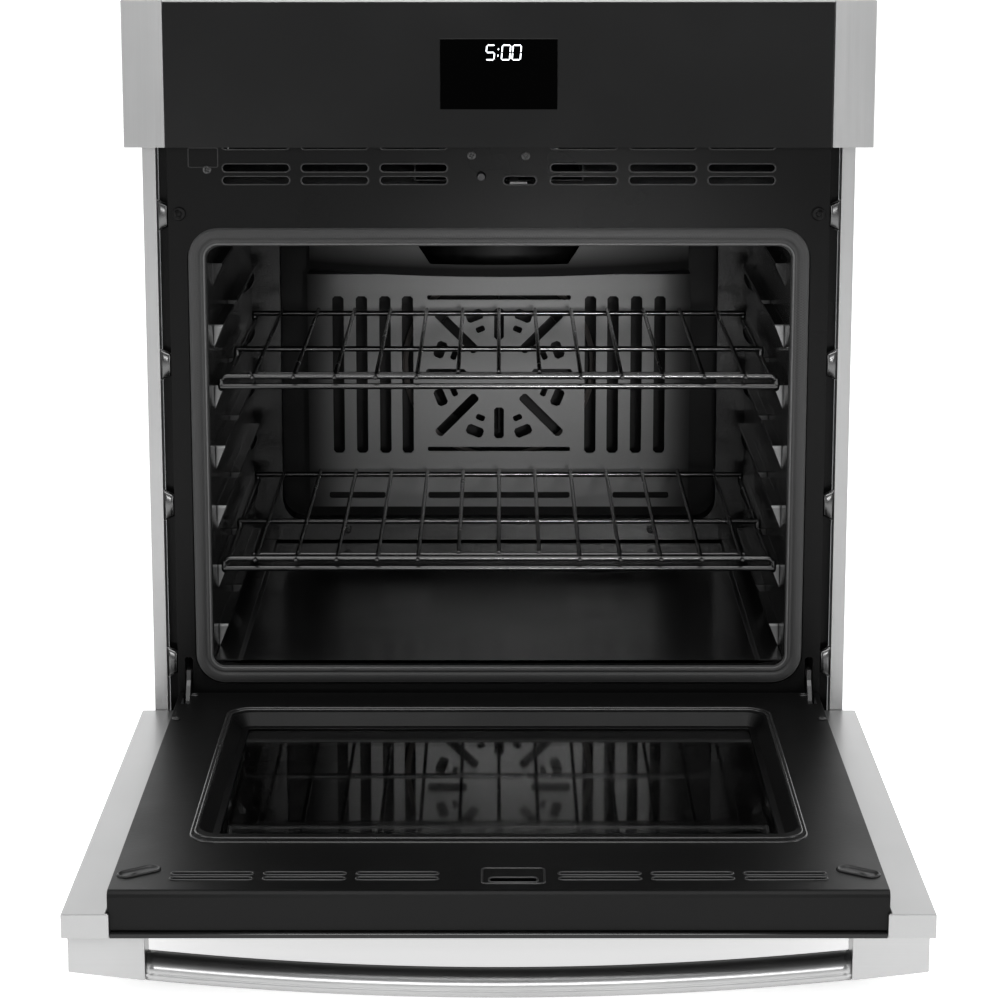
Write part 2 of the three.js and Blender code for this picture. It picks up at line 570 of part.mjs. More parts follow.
const makeRack = (name, level) => {
  const ledgeTop = LEDGE_BOTTOM + level * LEDGE_PITCH;
  const side = ledgeTop + GAP + RACK_WIRE;
  const deck = side + 12.5;
  const wire = (axis, start, length, radius = RACK_WIRE) => rod(axis, start, length, radius, 6);
  const long = RACK_HALF * 2;
  const pieces = [
    wire('x', [-RACK_HALF, RACK_FRONT, side + 3], long),
    wire('x', [-RACK_HALF, RACK_FRONT, deck], long),
    wire('x', [-236, RACK_FRONT + 29, deck - 3], 472, 2),
    wire('x', [-RACK_HALF, 232, deck - 4], long),
    wire('x', [-RACK_HALF, RACK_REAR, deck - 4], long),
  ];
  for (const x of [-RACK_HALF, RACK_HALF]) {
    pieces.push(wire('y', [x, RACK_FRONT - 3, side], RACK_REAR - RACK_FRONT + 6));
    pieces.push(box(x - 2.6, x + 2.6, RACK_FRONT - 3, RACK_FRONT + 3, side, deck));
    for (const y of [232, RACK_REAR]) {
      pieces.push(box(x - 2.6, x + 2.6, y - 3, y + 3, side, deck - 3));
    }
  }
  for (let i = -6; i <= 6; i += 1) {
    const front = Math.abs(i) <= 1 ? RACK_FRONT + 26 : RACK_FRONT - 7;
    pieces.push(wire('y', [i * RACK_PITCH, front, deck], RACK_REAR + 2 - front, 2));
  }
  put(body, name, join(...pieces), 'chromeWire');
};

// ---- door, drawn closed and swung down about its hinge line ----
const WINDOW = { half: 247, low: 110.6, high: 451, depth: 11, slope: 9 };

/** Solid between two round-cornered rectangles on planes y0 and y1. */
const taper = (y0, grow0, y1, grow1) => {
  const outline = (grow, y) => roundRect(-WINDOW.half - grow, WINDOW.half + grow,
    WINDOW.low - grow, WINDOW.high + grow, 20 + grow).getPoints(5)
    .slice(0, -1).map((p) => [p.x, y, p.y]);
  const front = outline(grow0, y0);
  const rear = outline(grow1, y1);
  const count = front.length;
  const index = [];
  for (let i = 0; i < count; i += 1) {
    const next = (i + 1) % count;
    index.push(i, next, count + i, next, count + next, count + i);
    if (i > 0 && next > 0) {
      index.push(0, next, i, count, count + i, count + next);
    }
  }
  const geometry = new THREE.BufferGeometry();
  geometry.setAttribute('position', new THREE.Float32BufferAttribute([...front, ...rear].flat(), 3));
  geometry.setIndex(index);
  return toSolid(geometry).volume() > 0 ? geometry : flipped(geometry);
};

const flipped = (geometry) => {
  const index = Array.from(geometry.index.array);
  for (let i = 0; i < index.length; i += 3) [index[i], index[i + 1]] = [index[i + 1], index[i]];
  geometry.setIndex(index);
  return geometry;
};

const DOOR_VENT = { rows: [545.6, 557.1], length: 63.5, height: 5.5, first: 79.6, pitch: 73 };
const LINER_TOP = 586;
const LINER_ROUND = 5;                   // bend radius of the liner's upper edge

/** Liner section in y and z, drawn in by the given amount on every side but the open one. */
const linerSection = (inset, open) => {
  const radius = LINER_ROUND - inset;
  const bend = [0, 1, 2, 3].map((i) => (i * Math.PI) / 6).map((angle) => [
    DOOR_LINER_Y - LINER_ROUND + radius * Math.sin(angle),
    LINER_TOP - LINER_ROUND + radius * Math.cos(angle)]);
  return polygon([[open, DOOR_BOTTOM + inset], [open, LINER_TOP - inset], ...bend,
    [DOOR_LINER_Y - inset, DOOR_BOTTOM + inset]]);
};

const makeDoorLiner = () => {
  const half = CHASSIS_HALF;
  const low = DOOR_BOTTOM;
  const face = DOOR_LINER_Y;
  const shell = cut(plateX(linerSection(0, 5), -half, half),
    plateX(linerSection(SHEET, 4), -half + SHEET, half - SHEET));
  const recess = cut(taper(face - WINDOW.depth - SHEET, -WINDOW.slope + SHEET, face - 0.5, SHEET),
    taper(face - WINDOW.depth, -WINDOW.slope, face + 1, 0.5));
  const inner = taper(face - WINDOW.depth - 3, -WINDOW.slope - 6, face - WINDOW.depth + 0.5,
    -WINDOW.slope - 6);
  const tools = [taper(face - WINDOW.depth, -WINDOW.slope, face + 1, 0.8), inner];
  for (let i = 0; i < 3; i += 1) {
    const x = DOOR_VENT.first + i * DOOR_VENT.pitch;
    for (const middle of [-x, x]) {
      for (const z of DOOR_VENT.rows) {
        tools.push(box(middle - DOOR_VENT.length / 2, middle + DOOR_VENT.length / 2,
          face - 4, face + 2, z - DOOR_VENT.height / 2, z + DOOR_VENT.height / 2));
      }
    }
  }
  tools.push(box(-7, 30, face - 4, face + 2, LATCH_Z - 5, LATCH_Z + 5));
  for (const side of [-1, 1]) {
    tools.push(box(-15.5, 15.5, face - 4, face + 2, -6.2, 6.2).rotateY(side * -0.6)
      .translate(side * 284, 0, 542));
    tools.push(box(side * HINGE_X - 4, side * HINGE_X + 4, face - 20, face + 2, low - 2, 84));
  }
  put(door, 'door_liner', cut(join(shell, recess), ...tools), 'enamel');
};

const makeDoor = () => {
  put(door, 'door_front_glass', box(-GLASS_HALF, GLASS_HALF, 0, 4, DOOR_BOTTOM, DOOR_TOP), 'glass');
  const outside = box(GLASS_HALF + GAP, WIDTH / 2, 0, DOOR_SIDE_DEPTH, DOOR_BOTTOM, DOOR_TOP);
  const hollow = box(GLASS_HALF + 1.5, WIDTH / 2 - 1.2, 1.2, DOOR_SIDE_DEPTH - 1.2,
    DOOR_BOTTOM + 1.2, DOOR_TOP - 1.2);
  const notch = box(GLASS_HALF - 5, GLASS_HALF + 3, 4, 30, DOOR_BOTTOM - 1, DOOR_TOP - 3);
  putPair(door, 'door_side_frame', cut(outside, hollow, notch), 'stainless');
  makeDoorLiner();
  const y = DOOR_LINER_Y - WINDOW.depth - SHEET;
  put(door, 'door_inner_glass', box(-250, 250, y - 4.3, y - GAP, 104, 458), 'glass');
  const frame = roundRect(-262, 262, 92, 470, 4);
  frame.holes.push(roundRect(-238, 238, 116, 446, 4, THREE.Path));
  put(door, 'glass_retainer', plateY(frame, 6, y - 4.6), 'galvanised');
  const cheek = (x) => box(x - 0.8, x + 0.8, 8, 33, 51, 210);
  putPair(door, 'door_hinge_body', join(cheek(HINGE_X - 5.5), cheek(HINGE_X + 5.5),
    box(HINGE_X - 6, HINGE_X + 6, 6.5, 8.2, 51, 210),
    rod('x', [HINGE_X - 6, HINGE_Y, HINGE_Z], 12, 3, 12)), 'galvanised');
};

const handleOuter = (x) => -(HANDLE_BOW_OUT - HANDLE_BOW * x * x);

/** Bar outline in x and y between two x values, thick bar or block down to the door. */
const handlePlan = (x0, x1, inner) => {
  const steps = 12;
  const xs = Array.from({ length: steps + 1 }, (_, i) => x0 + ((x1 - x0) * i) / steps);
  const front = xs.map((x) => [x, handleOuter(x)]);
  const rear = [...xs].reverse().map((x) => [x, inner(x)]);
  return polygon([...front, ...rear]);
};

const makeHandle = () => {
  const plan = handlePlan(-HANDLE_END_X, HANDLE_END_X, (x) => handleOuter(x) + HANDLE_THICK);
  const soft = 5;
  const bar = join(plateZ(plan, HANDLE_LOW + soft, HANDLE_HIGH - soft),
    plateZ(handlePlan(-HANDLE_END_X, HANDLE_END_X, (x) => handleOuter(x) + HANDLE_THICK - 4),
      HANDLE_LOW, HANDLE_HIGH).translate(0, 2, 0));
  put(door, 'handle_bar', bar, 'stainless');
  putPair(door, 'handle_end', plateZ(handlePlan(HANDLE_END_X + GAP, HANDLE_TIP_X, () => -GAP),
    HANDLE_LOW, HANDLE_HIGH), 'stainless');
};

makeChassis();
makeFrontFrame();
makeTrims();
makeCavity();
makeGasket();
makeFanCover();
makeTopDeflector();
makeConvection();
makeHeaters();
makeInsulation();
makeCooling();
makeLatch();
makeHingeReceivers();
makeControlPanel();
makeConduitGland();
for (const [name, level] of Object.entries(RACK_LEVELS)) makeRack(name, level);
makeDoor();
makeHandle();

// the door turns about its hinge line from closed to open
const pivot = new THREE.Group();
pivot.position.set(0, HINGE_Y, HINGE_Z);
pivot.rotation.x = DOOR_OPEN;
door.position.set(0, -HINGE_Y, -HINGE_Z);
pivot.add(door);
object.add(body, pivot);
object.position.y = -(FRAME_Y + REAR_Y) / 2;

export default object;
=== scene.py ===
"""Built-in electric wall oven with its door swung down, drawn as a maker puts it together."""

import math

import bmesh
import bpy
import numpy as np
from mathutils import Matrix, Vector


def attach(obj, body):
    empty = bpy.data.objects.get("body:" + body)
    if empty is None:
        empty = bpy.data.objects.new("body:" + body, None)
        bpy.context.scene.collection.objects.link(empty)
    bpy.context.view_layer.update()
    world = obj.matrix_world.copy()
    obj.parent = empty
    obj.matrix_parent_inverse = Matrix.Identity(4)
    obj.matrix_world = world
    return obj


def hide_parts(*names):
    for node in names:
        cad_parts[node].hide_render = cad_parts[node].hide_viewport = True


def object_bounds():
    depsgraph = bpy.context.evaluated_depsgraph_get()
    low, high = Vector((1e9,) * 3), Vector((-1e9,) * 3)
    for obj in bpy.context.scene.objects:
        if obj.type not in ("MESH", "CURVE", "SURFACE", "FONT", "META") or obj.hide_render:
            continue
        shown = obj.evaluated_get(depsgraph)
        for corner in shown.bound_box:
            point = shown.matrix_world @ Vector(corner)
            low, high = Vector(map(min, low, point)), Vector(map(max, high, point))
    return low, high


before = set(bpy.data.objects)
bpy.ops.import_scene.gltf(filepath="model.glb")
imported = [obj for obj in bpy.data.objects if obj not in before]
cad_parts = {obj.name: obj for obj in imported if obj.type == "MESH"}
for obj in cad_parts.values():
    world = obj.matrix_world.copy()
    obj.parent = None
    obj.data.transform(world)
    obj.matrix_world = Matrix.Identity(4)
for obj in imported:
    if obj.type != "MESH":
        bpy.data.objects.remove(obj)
cad_low, cad_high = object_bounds()


# ---- Camera ---------------------------------------------------------------------------------
# A long lens stands about three metres off, a little above the top of the oven, and looks
# slightly down at the middle of it.
LENS, SENSOR_WIDTH, LENS_SHIFT = 106.74, 36, -0.07
CAMERA_PLACE = (0.0011, -3.0155, 0.8806)
CAMERA_PITCH = 0.20112
CAMERA_REACH = 60

camera_data = bpy.data.cameras.new("camera")
camera_data.lens = LENS
camera_data.sensor_width = SENSOR_WIDTH
camera_data.shift_y = LENS_SHIFT
camera_data.clip_end = CAMERA_REACH
camera = bpy.data.objects.new("camera", camera_data)
camera.location = CAMERA_PLACE
camera.rotation_euler = (math.pi / 2 - CAMERA_PITCH, 0, 0)
bpy.context.scene.collection.objects.link(camera)
bpy.context.scene.camera = camera


# ---- Studio ---------------------------------------------------------------------------------
# Pale paper sweep under and behind the oven. One wide softbox hangs above it, two tall ones
# stand at its sides and a small one in front, and a narrow beam shines into the cavity.
PAPER_HALF_WIDTH = 6.0
PAPER_FRONT = -5.0
PAPER_BEND = 2.2
PAPER_RADIUS = 1.5
PAPER_TOP = 5.0
PAPER_GLOW = 0.66
PANEL_FACE = 333.0


def on_chassis(x, y, z):
    """Points in metres from design sizes in millimetres, whose y starts at the panel's face."""
    x, y, z = np.broadcast_arrays(x, y, z)
    return np.stack([x, np.asarray(y, float) - PANEL_FACE, z], axis=-1).astype(float) / 1000.0


def grid_quads(rows, columns):
    """The quads of a rows x columns grid, each joining vertex r, c to r + 1 and c + 1."""
    index = np.arange(rows * columns).reshape(rows, columns)
    corners = (index[:-1, :-1], index[:-1, 1:], index[1:, 1:], index[1:, :-1])
    return np.stack(corners, axis=-1).reshape(-1, 4)


def grid_mesh(name, points):
    """One open quad surface over a rows x columns grid of points."""
    mesh = bpy.data.meshes.new(name)
    quads = grid_quads(*points.shape[:2]).tolist()
    mesh.from_pydata(points.reshape(-1, 3).tolist(), [], quads)
    mesh.update()
    return mesh


def new_object(name, mesh):
    """An object at the origin that shows the mesh."""
    made = bpy.data.objects.new(name, mesh)
    bpy.context.scene.collection.objects.link(made)
    return made


def paper_sweep(floor_height):
    """Profile of floor, quarter circle and wall, carried along x."""
    turn = np.linspace(0, math.pi / 2, 24)
    y = np.concatenate(
        [[PAPER_FRONT], PAPER_BEND + PAPER_RADIUS * np.sin(turn), [PAPER_BEND + PAPER_RADIUS]]
    )
    z = np.concatenate(
        [[0.0], PAPER_RADIUS * (1 - np.cos(turn)), [PAPER_TOP]]
    ) + floor_height
    x = np.array([PAPER_HALF_WIDTH, -PAPER_HALF_WIDTH])[:, None]
    points = np.stack(np.broadcast_arrays(x, y[None, :], z[None, :]), axis=-1)
    return new_object("paper_sweep", grid_mesh("paper_sweep", points))


def material(name, **sockets):
    """A Principled material with plain values on its sockets, and its node tree."""
    made = bpy.data.materials.new(name)
    made.use_nodes = True
    shader = made.node_tree.nodes["Principled BSDF"]
    for socket, value in sockets.items():
        shader.inputs[socket.replace("_", " ")].default_value = value
    return made, made.node_tree, shader


def smooth_faces(thing):
    """Marks every face of a mesh object for smooth shading."""
    mesh = thing.data
    mesh.polygons.foreach_set("use_smooth", np.ones(len(mesh.polygons), bool))


paper, _, _ = material(
    "pale_paper", Base_Color=(0.86, 0.86, 0.86, 1), Roughness=0.9,
    Emission_Color=(1.0, 1.0, 1.0, 1), Emission_Strength=PAPER_GLOW,
)
floor = paper_sweep(cad_low.z - 0.0003)
floor.data.materials.append(paper)
smooth_faces(floor)

SOFTBOXES = {
    "softbox_top": ((0.0, -1.3, 2.9), (0.0, 0.0, 0.2), (2.6, 1.8), 50),
    "softbox_left": ((-2.6, -1.5, 1.3), (0.0, -0.2, 0.3), (1.2, 2.2), 26),
    "softbox_right": ((2.6, -1.5, 1.3), (0.0, -0.2, 0.3), (1.2, 2.2), 26),
    "softbox_front": ((0.0, -3.6, 1.15), (0.0, 0.2, 0.3), (0.9, 0.5), 16),
}
CAVITY_BEAM_PLACE, CAVITY_BEAM_TARGET = (0.25, -2.6, 0.62), (0.02, 0.17, 0.31)
BEAM_POWER, BEAM_SPREAD, BEAM_SOFTNESS = 170, math.radians(10), 0.12
AIR_COLOUR, AIR_STRENGTH = (0.93, 0.94, 0.95, 1), 0.3


def point_at(thing, place, target):
    """Puts a lamp at place and turns its beam to the target."""
    back = np.asarray(place, float) - np.asarray(target, float)
    across, up, along = back
    thing.location = place
    thing.rotation_euler = (
        math.atan2(math.hypot(across, up), along),
        0,
        math.atan2(across, -up),
    )


for lamp_name, (place, target, size, power) in SOFTBOXES.items():
    lamp_data = bpy.data.lights.new(lamp_name, "AREA")
    lamp_data.shape = "RECTANGLE"
    lamp_data.size, lamp_data.size_y = size
    lamp_data.energy = power
    lamp = bpy.data.objects.new(lamp_name, lamp_data)
    point_at(lamp, place, target)
    bpy.context.scene.collection.objects.link(lamp)

beam_data = bpy.data.lights.new("cavity_beam", "SPOT")
beam_data.energy = BEAM_POWER
beam_data.spot_size = BEAM_SPREAD
beam_data.spot_blend = 1.0
beam_data.shadow_soft_size = BEAM_SOFTNESS
beam = bpy.data.objects.new("cavity_beam", beam_data)
point_at(beam, CAVITY_BEAM_PLACE, CAVITY_BEAM_TARGET)
bpy.context.scene.collection.objects.link(beam)

world = bpy.data.worlds.new("studio_air")
world.use_nodes = True
air = world.node_tree.nodes["Background"]
air.inputs["Color"].default_value = AIR_COLOUR
air.inputs["Strength"].default_value = AIR_STRENGTH
bpy.context.scene.world = world
bpy.context.scene.view_settings.view_transform = "Standard"


# ---- Chassis sheets: base pan, top cover, side panels, rear cover, duct roof ----------------
# Zinc-coated steel sheets, cut and folded in a press and screwed together at their flanges.
# The zinc has crystallised in pale patches with soft borders.
ZINC_COLOUR = (0.46, 0.47, 0.48, 1)
SHEET_EDGE = 0.0004
MERGE_REACH = 0.00002
FLAT_ANGLE, SHARP_ANGLE = math.radians(1.5), math.radians(40)


def add_noise(tree, coordinates, scale, detail=4.0, roughness=0.55):
    """A noise texture on the given coordinates; its Fac output."""
    noise = tree.nodes.new("ShaderNodeTexNoise")
    noise.inputs["Scale"].default_value = scale
    noise.inputs["Detail"].default_value = detail
    noise.inputs["Roughness"].default_value = roughness
    tree.links.new(coordinates, noise.inputs["Vector"])
    return noise.outputs["Fac"]


def feed(tree, socket, value):
    """Links a socket to the one given, or sets its plain value."""
    if isinstance(value, bpy.types.NodeSocket):
        tree.links.new(value, socket)
    else:
        socket.default_value = value


def add_math(tree, operation, first, second=0.0):
    """A math node on two sockets or numbers; its output."""
    node = tree.nodes.new("ShaderNodeMath")
    node.operation = operation
    for socket, value in zip(node.inputs, (first, second)):
        feed(tree, socket, value)
    return node.outputs[0]


def add_range(tree, value, low, high, to_low, to_high):
    """Maps a value's range low to high on to_low to to_high, held at its ends."""
    node = tree.nodes.new("ShaderNodeMapRange")
    for socket, end in zip(list(node.inputs)[:5], (value, low, high, to_low, to_high)):
        feed(tree, socket, end)
    return node.outputs[0]


def add_mix(tree, factor, first, second):
    """Mixes two colours, each a socket or four numbers; the mixed colour."""
    node = tree.nodes.new("ShaderNodeMix")
    node.data_type = "RGBA"
    for index, value in ((0, factor), (6, first), (7, second)):
        feed(tree, node.inputs[index], value)
    return node.outputs[2]


def add_bump(tree, shader, height, distance):
    """Lets a height, in shares of the distance, lean the shader's normal."""
    bump = tree.nodes.new("ShaderNodeBump")
    bump.inputs["Distance"].default_value = distance
    tree.links.new(height, bump.inputs["Height"])
    tree.links.new(bump.outputs["Normal"], shader.inputs["Normal"])


def object_place(tree):
    """The Object output of a new coordinates node."""
    return tree.nodes.new("ShaderNodeTexCoord").outputs["Object"]


def effect_group(name, inputs, outputs):
    """An empty node group with the named inputs and outputs, and its own Object coordinates."""
    group = bpy.data.node_groups.new(name, "ShaderNodeTree")
    for socket, kind, value in inputs:
        made = group.interface.new_socket(name=socket, in_out="INPUT", socket_type=kind)
        made.default_value = value
    for socket, kind in outputs:
        group.interface.new_socket(name=socket, in_out="OUTPUT", socket_type=kind)
    entry = group.nodes.new("NodeGroupInput")
    leave = group.nodes.new("NodeGroupOutput")
    place = object_place(group)
    return group, entry.outputs, leave.inputs, place


def use_group(tree, group, shader, height=0.0, **values):
    """Places a group in a material: Colour, Roughness and, through a Bump, Height."""
    node = tree.nodes.new("ShaderNodeGroup")
    node.node_tree = group
    for socket, value in values.items():
        node.inputs[socket.replace("_", " ")].default_value = value
    tree.links.new(node.outputs["Colour"], shader.inputs["Base Color"])
    tree.links.new(node.outputs["Roughness"], shader.inputs["Roughness"])
    if height:
        add_bump(tree, shader, node.outputs["Height"], height)


COLOUR_SOCKET, NUMBER_SOCKET = "NodeSocketColor", "NodeSocketFloat"
SURFACE_OUTPUTS = [
    ("Colour", COLOUR_SOCKET),
    ("Roughness", NUMBER_SOCKET),
    ("Height", NUMBER_SOCKET),
]


def zinc_crystals():
    """Voronoi cells, each a little lighter or darker and rougher than its neighbours."""
    group, given, out, place = effect_group(
        "zinc_crystals",
        [("Colour", COLOUR_SOCKET, ZINC_COLOUR), ("Crystal Size", NUMBER_SOCKET, 90.0)],
        SURFACE_OUTPUTS,
    )
    cells = group.nodes.new("ShaderNodeTexVoronoi")
    group.links.new(place, cells.inputs["Vector"])
    group.links.new(given["Crystal Size"], cells.inputs["Scale"])
    tone = add_math(group, "MULTIPLY", cells.outputs["Color"], 1.0)
    fine = add_noise(group, place, 900.0)
    darker = group.nodes.new("ShaderNodeHueSaturation")
    group.links.new(given["Colour"], darker.inputs["Color"])
    group.links.new(add_range(group, tone, 0, 1, 0.82, 1.1), darker.inputs["Value"])
    group.links.new(darker.outputs["Color"], out["Colour"])
    rough = add_math(
        group, "ADD", add_range(group, tone, 0, 1, 0.34, 0.52),
        add_range(group, fine, 0.3, 0.7, -0.04, 0.04),
    )
    group.links.new(rough, out["Roughness"])
    group.links.new(add_math(group, "ADD", tone, fine), out["Height"])
    return group


ZINC_CRYSTALS = zinc_crystals()


def zinc_plate(name, colour=ZINC_COLOUR, size=90.0):
    """Zinc-coated sheet with its crystals at the given count per metre."""
    made, tree, shader = material(name, Metallic=1.0)
    use_group(tree, ZINC_CRYSTALS, shader, 0.00003, Colour=colour, Crystal_Size=size)
    return made


def dress(node, finish, edge=SHEET_EDGE):
    """Gives a CAD node its finish and, by modifiers, merged faces with softened edges."""
    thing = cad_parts[node]
    for place in thing.material_slots:
        place.material = finish
    if edge:
        weld = thing.modifiers.new("merge", "WELD")
        weld.merge_threshold = MERGE_REACH
        flat = thing.modifiers.new("whole_faces", "DECIMATE")
        flat.decimate_type = "DISSOLVE"
        flat.angle_limit = FLAT_ANGLE
        soft = thing.modifiers.new("soft_edges", "BEVEL")
        soft.width = edge
        soft.segments = 2
        soft.limit_method = "ANGLE"
        soft.angle_limit = SHARP_ANGLE
        soft.use_clamp_overlap = True


zinc = zinc_plate("zinc_coated_steel")
for node in ("base_pan", "top_cover", "side_panel_left", "side_panel_right", "rear_cover",
             "duct_roof"):
    dress(node, zinc)


# ---- Front frame ----------------------------------------------------------------------------
# One sheet, pierced in a press for the cooling air, the latch, the door switch and the hinges,
# then dipped in black glass enamel and fired. Every slot has a small turned-out rim.
FRAME_FACE = 42.0
VENT_FIRST, VENT_PITCH = 78.4, 72.7
VENT_COLUMNS = [side * (VENT_FIRST + VENT_PITCH * i) for i in range(3) for side in (-1, 1)]
VENT_ROWS = (560.1, 571.6, 592.4)
VENT_HALF_LENGTH, VENT_HALF_HEIGHT = 30.5, 3.3
RIM_RADIUS, RIM_GAP = 0.8, 0.6
LATCH_SLOT = (19.5, 560.0, 14.65, 3.5)
ACCESS_TAB, ACCESS_TAB_CORNER = (-286.0, -258.8, 572.2, 590.0), 1.5
ACCESS_BEAD_RADIUS = 0.45
HINGE_Y, HINGE_Z = 24.8, 58.8


def fired_enamel():
    """Glass enamel: orange-peel waves, faint pale specks and patches that shine unevenly."""
    group, given, out, place = effect_group(
        "fired_enamel",
        [
            ("Colour", COLOUR_SOCKET, (0.01, 0.01, 0.01, 1)),
            ("Specks", NUMBER_SOCKET, 0.04),
            ("Roughness", NUMBER_SOCKET, 0.2),
        ],
        SURFACE_OUTPUTS,
    )
    specks = add_range(group, add_noise(group, place, 1500.0, 1.0), 0.66, 0.72, 0, 1)
    specks = add_math(group, "MULTIPLY", specks, given["Specks"])
    group.links.new(add_mix(group, specks, given["Colour"], (0.3, 0.3, 0.3, 1)), out["Colour"])
    haze = add_range(group, add_noise(group, place, 9.0, 3.0), 0.3, 0.7, -0.035, 0.035)
    group.links.new(add_math(group, "ADD", given["Roughness"], haze), out["Roughness"])
    group.links.new(add_noise(group, place, 260.0, 2.0), out["Height"])
    return group


FIRED_ENAMEL = fired_enamel()


def enamel(name, tone, specks, roughness, waves=0.00006, shine=0.3):
    """Neutral enamel of one tone on steel."""
    made, tree, shader = material(name, Specular_IOR_Level=shine)
    use_group(tree, FIRED_ENAMEL, shader, waves, Colour=(tone, tone, tone, 1), Specks=specks,
              Roughness=roughness)
    return made


black_enamel = enamel("black_enamel", 0.0022, 0.02, 0.3, shine=0.13)
dress("front_frame", black_enamel)


def rounded_path(x_low, x_high, z_low, z_high, radius, steps=8):
    """Round-cornered rectangle: four quarter circles, with each point's outward direction."""
    quarter = np.linspace(0, math.pi / 2, steps)
    turn = np.concatenate([quarter + k * math.pi / 2 for k in range(4)])
    centre_x = np.repeat([x_high, x_low, x_low, x_high], steps) + np.repeat(
        [-radius, radius, radius, -radius], steps
    )
    centre_z = np.repeat([z_high, z_high, z_low, z_low], steps) + np.repeat(
        [-radius, -radius, radius, radius], steps
    )
    out = np.stack([np.cos(turn), np.sin(turn)], axis=1)
    path = np.stack([centre_x, centre_z], axis=1) + radius * out
    return np.vstack([path, path[:1]]), np.vstack([out, out[:1]])


def bead_on(path, out, y, section):
    """Carries a closed section along a path that lies in a plane of constant y.

    Point t, s = path(t) + section_x(s) x outward(t), and section_y(s) in front of the plane.
    """
    section = np.asarray(section, float)
    across, forward = section[:, 0], section[:, 1]
    x = path[:, 0, None] + out[:, 0, None] * across[None, :]
    z = path[:, 1, None] + out[:, 1, None] * across[None, :]
    return x, np.broadcast_to(y - forward[None, :], x.shape), z


def round_section(radius, sides=10):
    """Circle of the given radius, its last point on its first."""
    turn = np.linspace(0, 2 * math.pi, sides + 1)
    return np.stack([radius * np.cos(turn), radius * np.sin(turn)], axis=1)


def on_open_door(x, y, z):
    """Sizes drawn on the closed door, swung down by a quarter turn about its hinge line.

    With the hinge at y = h, z = k, the point y, z goes to h + k - z, k - h + y.
    """
    return on_chassis(x, HINGE_Y + HINGE_Z - np.asarray(z, float),
                          HINGE_Z - HINGE_Y + np.asarray(y, float))


def piece(name, grids, finish, body, replaces=(), smooth=True):
    """Grids of points whose meeting edges are merged into one closed piece, put on a body."""
    points, faces, start = [], [], 0
    for grid in grids:
        faces.append(grid_quads(*grid.shape[:2]) + start)
        points.append(grid.reshape(-1, 3))
        start += len(points[-1])
    mesh = bpy.data.meshes.new(name)
    mesh.from_pydata(np.concatenate(points).tolist(), [], np.concatenate(faces).tolist())
    shape = bmesh.new()
    shape.from_mesh(mesh)
    bmesh.ops.remove_doubles(shape, verts=shape.verts, dist=0.000002)
    bmesh.ops.dissolve_degenerate(shape, edges=shape.edges, dist=0.000001)
    bmesh.ops.recalc_face_normals(shape, faces=shape.faces)
    shape.to_mesh(mesh)
    shape.free()
    made = new_object(name, mesh)
    mesh.materials.append(finish)
    if smooth:
        smooth_faces(made)
    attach(made, body)
    if replaces:
        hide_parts(*replaces)
    return made


def closed_slab(front, back):
    """Two sheets of points over the same grid, and the four strips that join their edges."""
    return [
        front,
        back,
        np.stack([front[0], back[0]]),
        np.stack([front[-1], back[-1]]),
        np.stack([front[:, 0], back[:, 0]]),
        np.stack([front[:, -1], back[:, -1]]),
    ]


def slot_rims(place, slots, y, radius, gap=0.0, corner=math.inf):
    """Round beads along the edges of slots, given as middle x, z and half length, half height.

    A bead runs outside the slot's edge by the gap, its corners no rounder than the corner.
    """
    rims = []
    for x, z, half_length, half_height in slots:
        half_x, half_z = half_length + gap, half_height + gap
        path, out = rounded_path(x - half_x, x + half_x, z - half_z, z + half_z,
                                 min(corner, half_z))
        rims.append(place(*bead_on(path, out, y, round_section(radius))))
    return rims


frame_slots = [(x, z, VENT_HALF_LENGTH, VENT_HALF_HEIGHT) for x in VENT_COLUMNS for z in VENT_ROWS]
frame_slots.append(LATCH_SLOT)
# Painted highlight: the rims' and the access tab edge's enamel is paler than the frame's, as light
# along their edges.
rim_highlight_enamel = enamel("rims_painted_highlight", 0.02, 0.05, 0.3, shine=0.4)
piece("front_frame_rims",
      slot_rims(on_chassis, frame_slots, FRAME_FACE, RIM_RADIUS, RIM_GAP),
      rim_highlight_enamel, "root")
tab_path, tab_out = rounded_path(*ACCESS_TAB, ACCESS_TAB_CORNER)
piece("access_tab_edge",
      [on_chassis(*bead_on(tab_path, tab_out, FRAME_FACE, round_section(ACCESS_BEAD_RADIUS)))],
      rim_highlight_enamel, "root")


# ---- Mineral wool blanket -------------------------------------------------------------------
# A blanket of spun glass fibre round the cavity, under the outer sheets, its colour painted
# near-black as the shade seen through the frame's slots. It is felted, matt and dented, and is
# held only by the sheets that squeeze it.
def spun_fibre(name, colour):
    """Matt felt: two noises, one of them drawn out in a direction, make lumps and strands."""
    made, tree, shader = material(name, Roughness=0.95, Sheen_Weight=0.25)
    place = object_place(tree)
    stretch = tree.nodes.new("ShaderNodeMapping")
    stretch.inputs["Scale"].default_value = (40, 40, 420)
    tree.links.new(place, stretch.inputs["Vector"])
    strands = add_noise(tree, stretch.outputs["Vector"], 4.0, 8.0, 0.7)
    lumps = add_noise(tree, place, 26.0)
    dark = tuple(c * 0.45 for c in colour[:3]) + (1,)
    felt = add_mix(tree, add_range(tree, strands, 0.3, 0.7, 0, 1), dark, colour)
    tree.links.new(felt, shader.inputs["Base Color"])
    add_bump(tree, shader, add_math(tree, "ADD", strands, lumps), 0.002)
    return made


WOOL_INSIDE = (-274.5, 274.5, 80.0, 503.0, 1.0)
WOOL_OUTSIDE = (-301.5, 301.5, 3.0, 543.0, 12.0)
WOOL_FRONT, WOOL_BACK = 82.5, 578.5


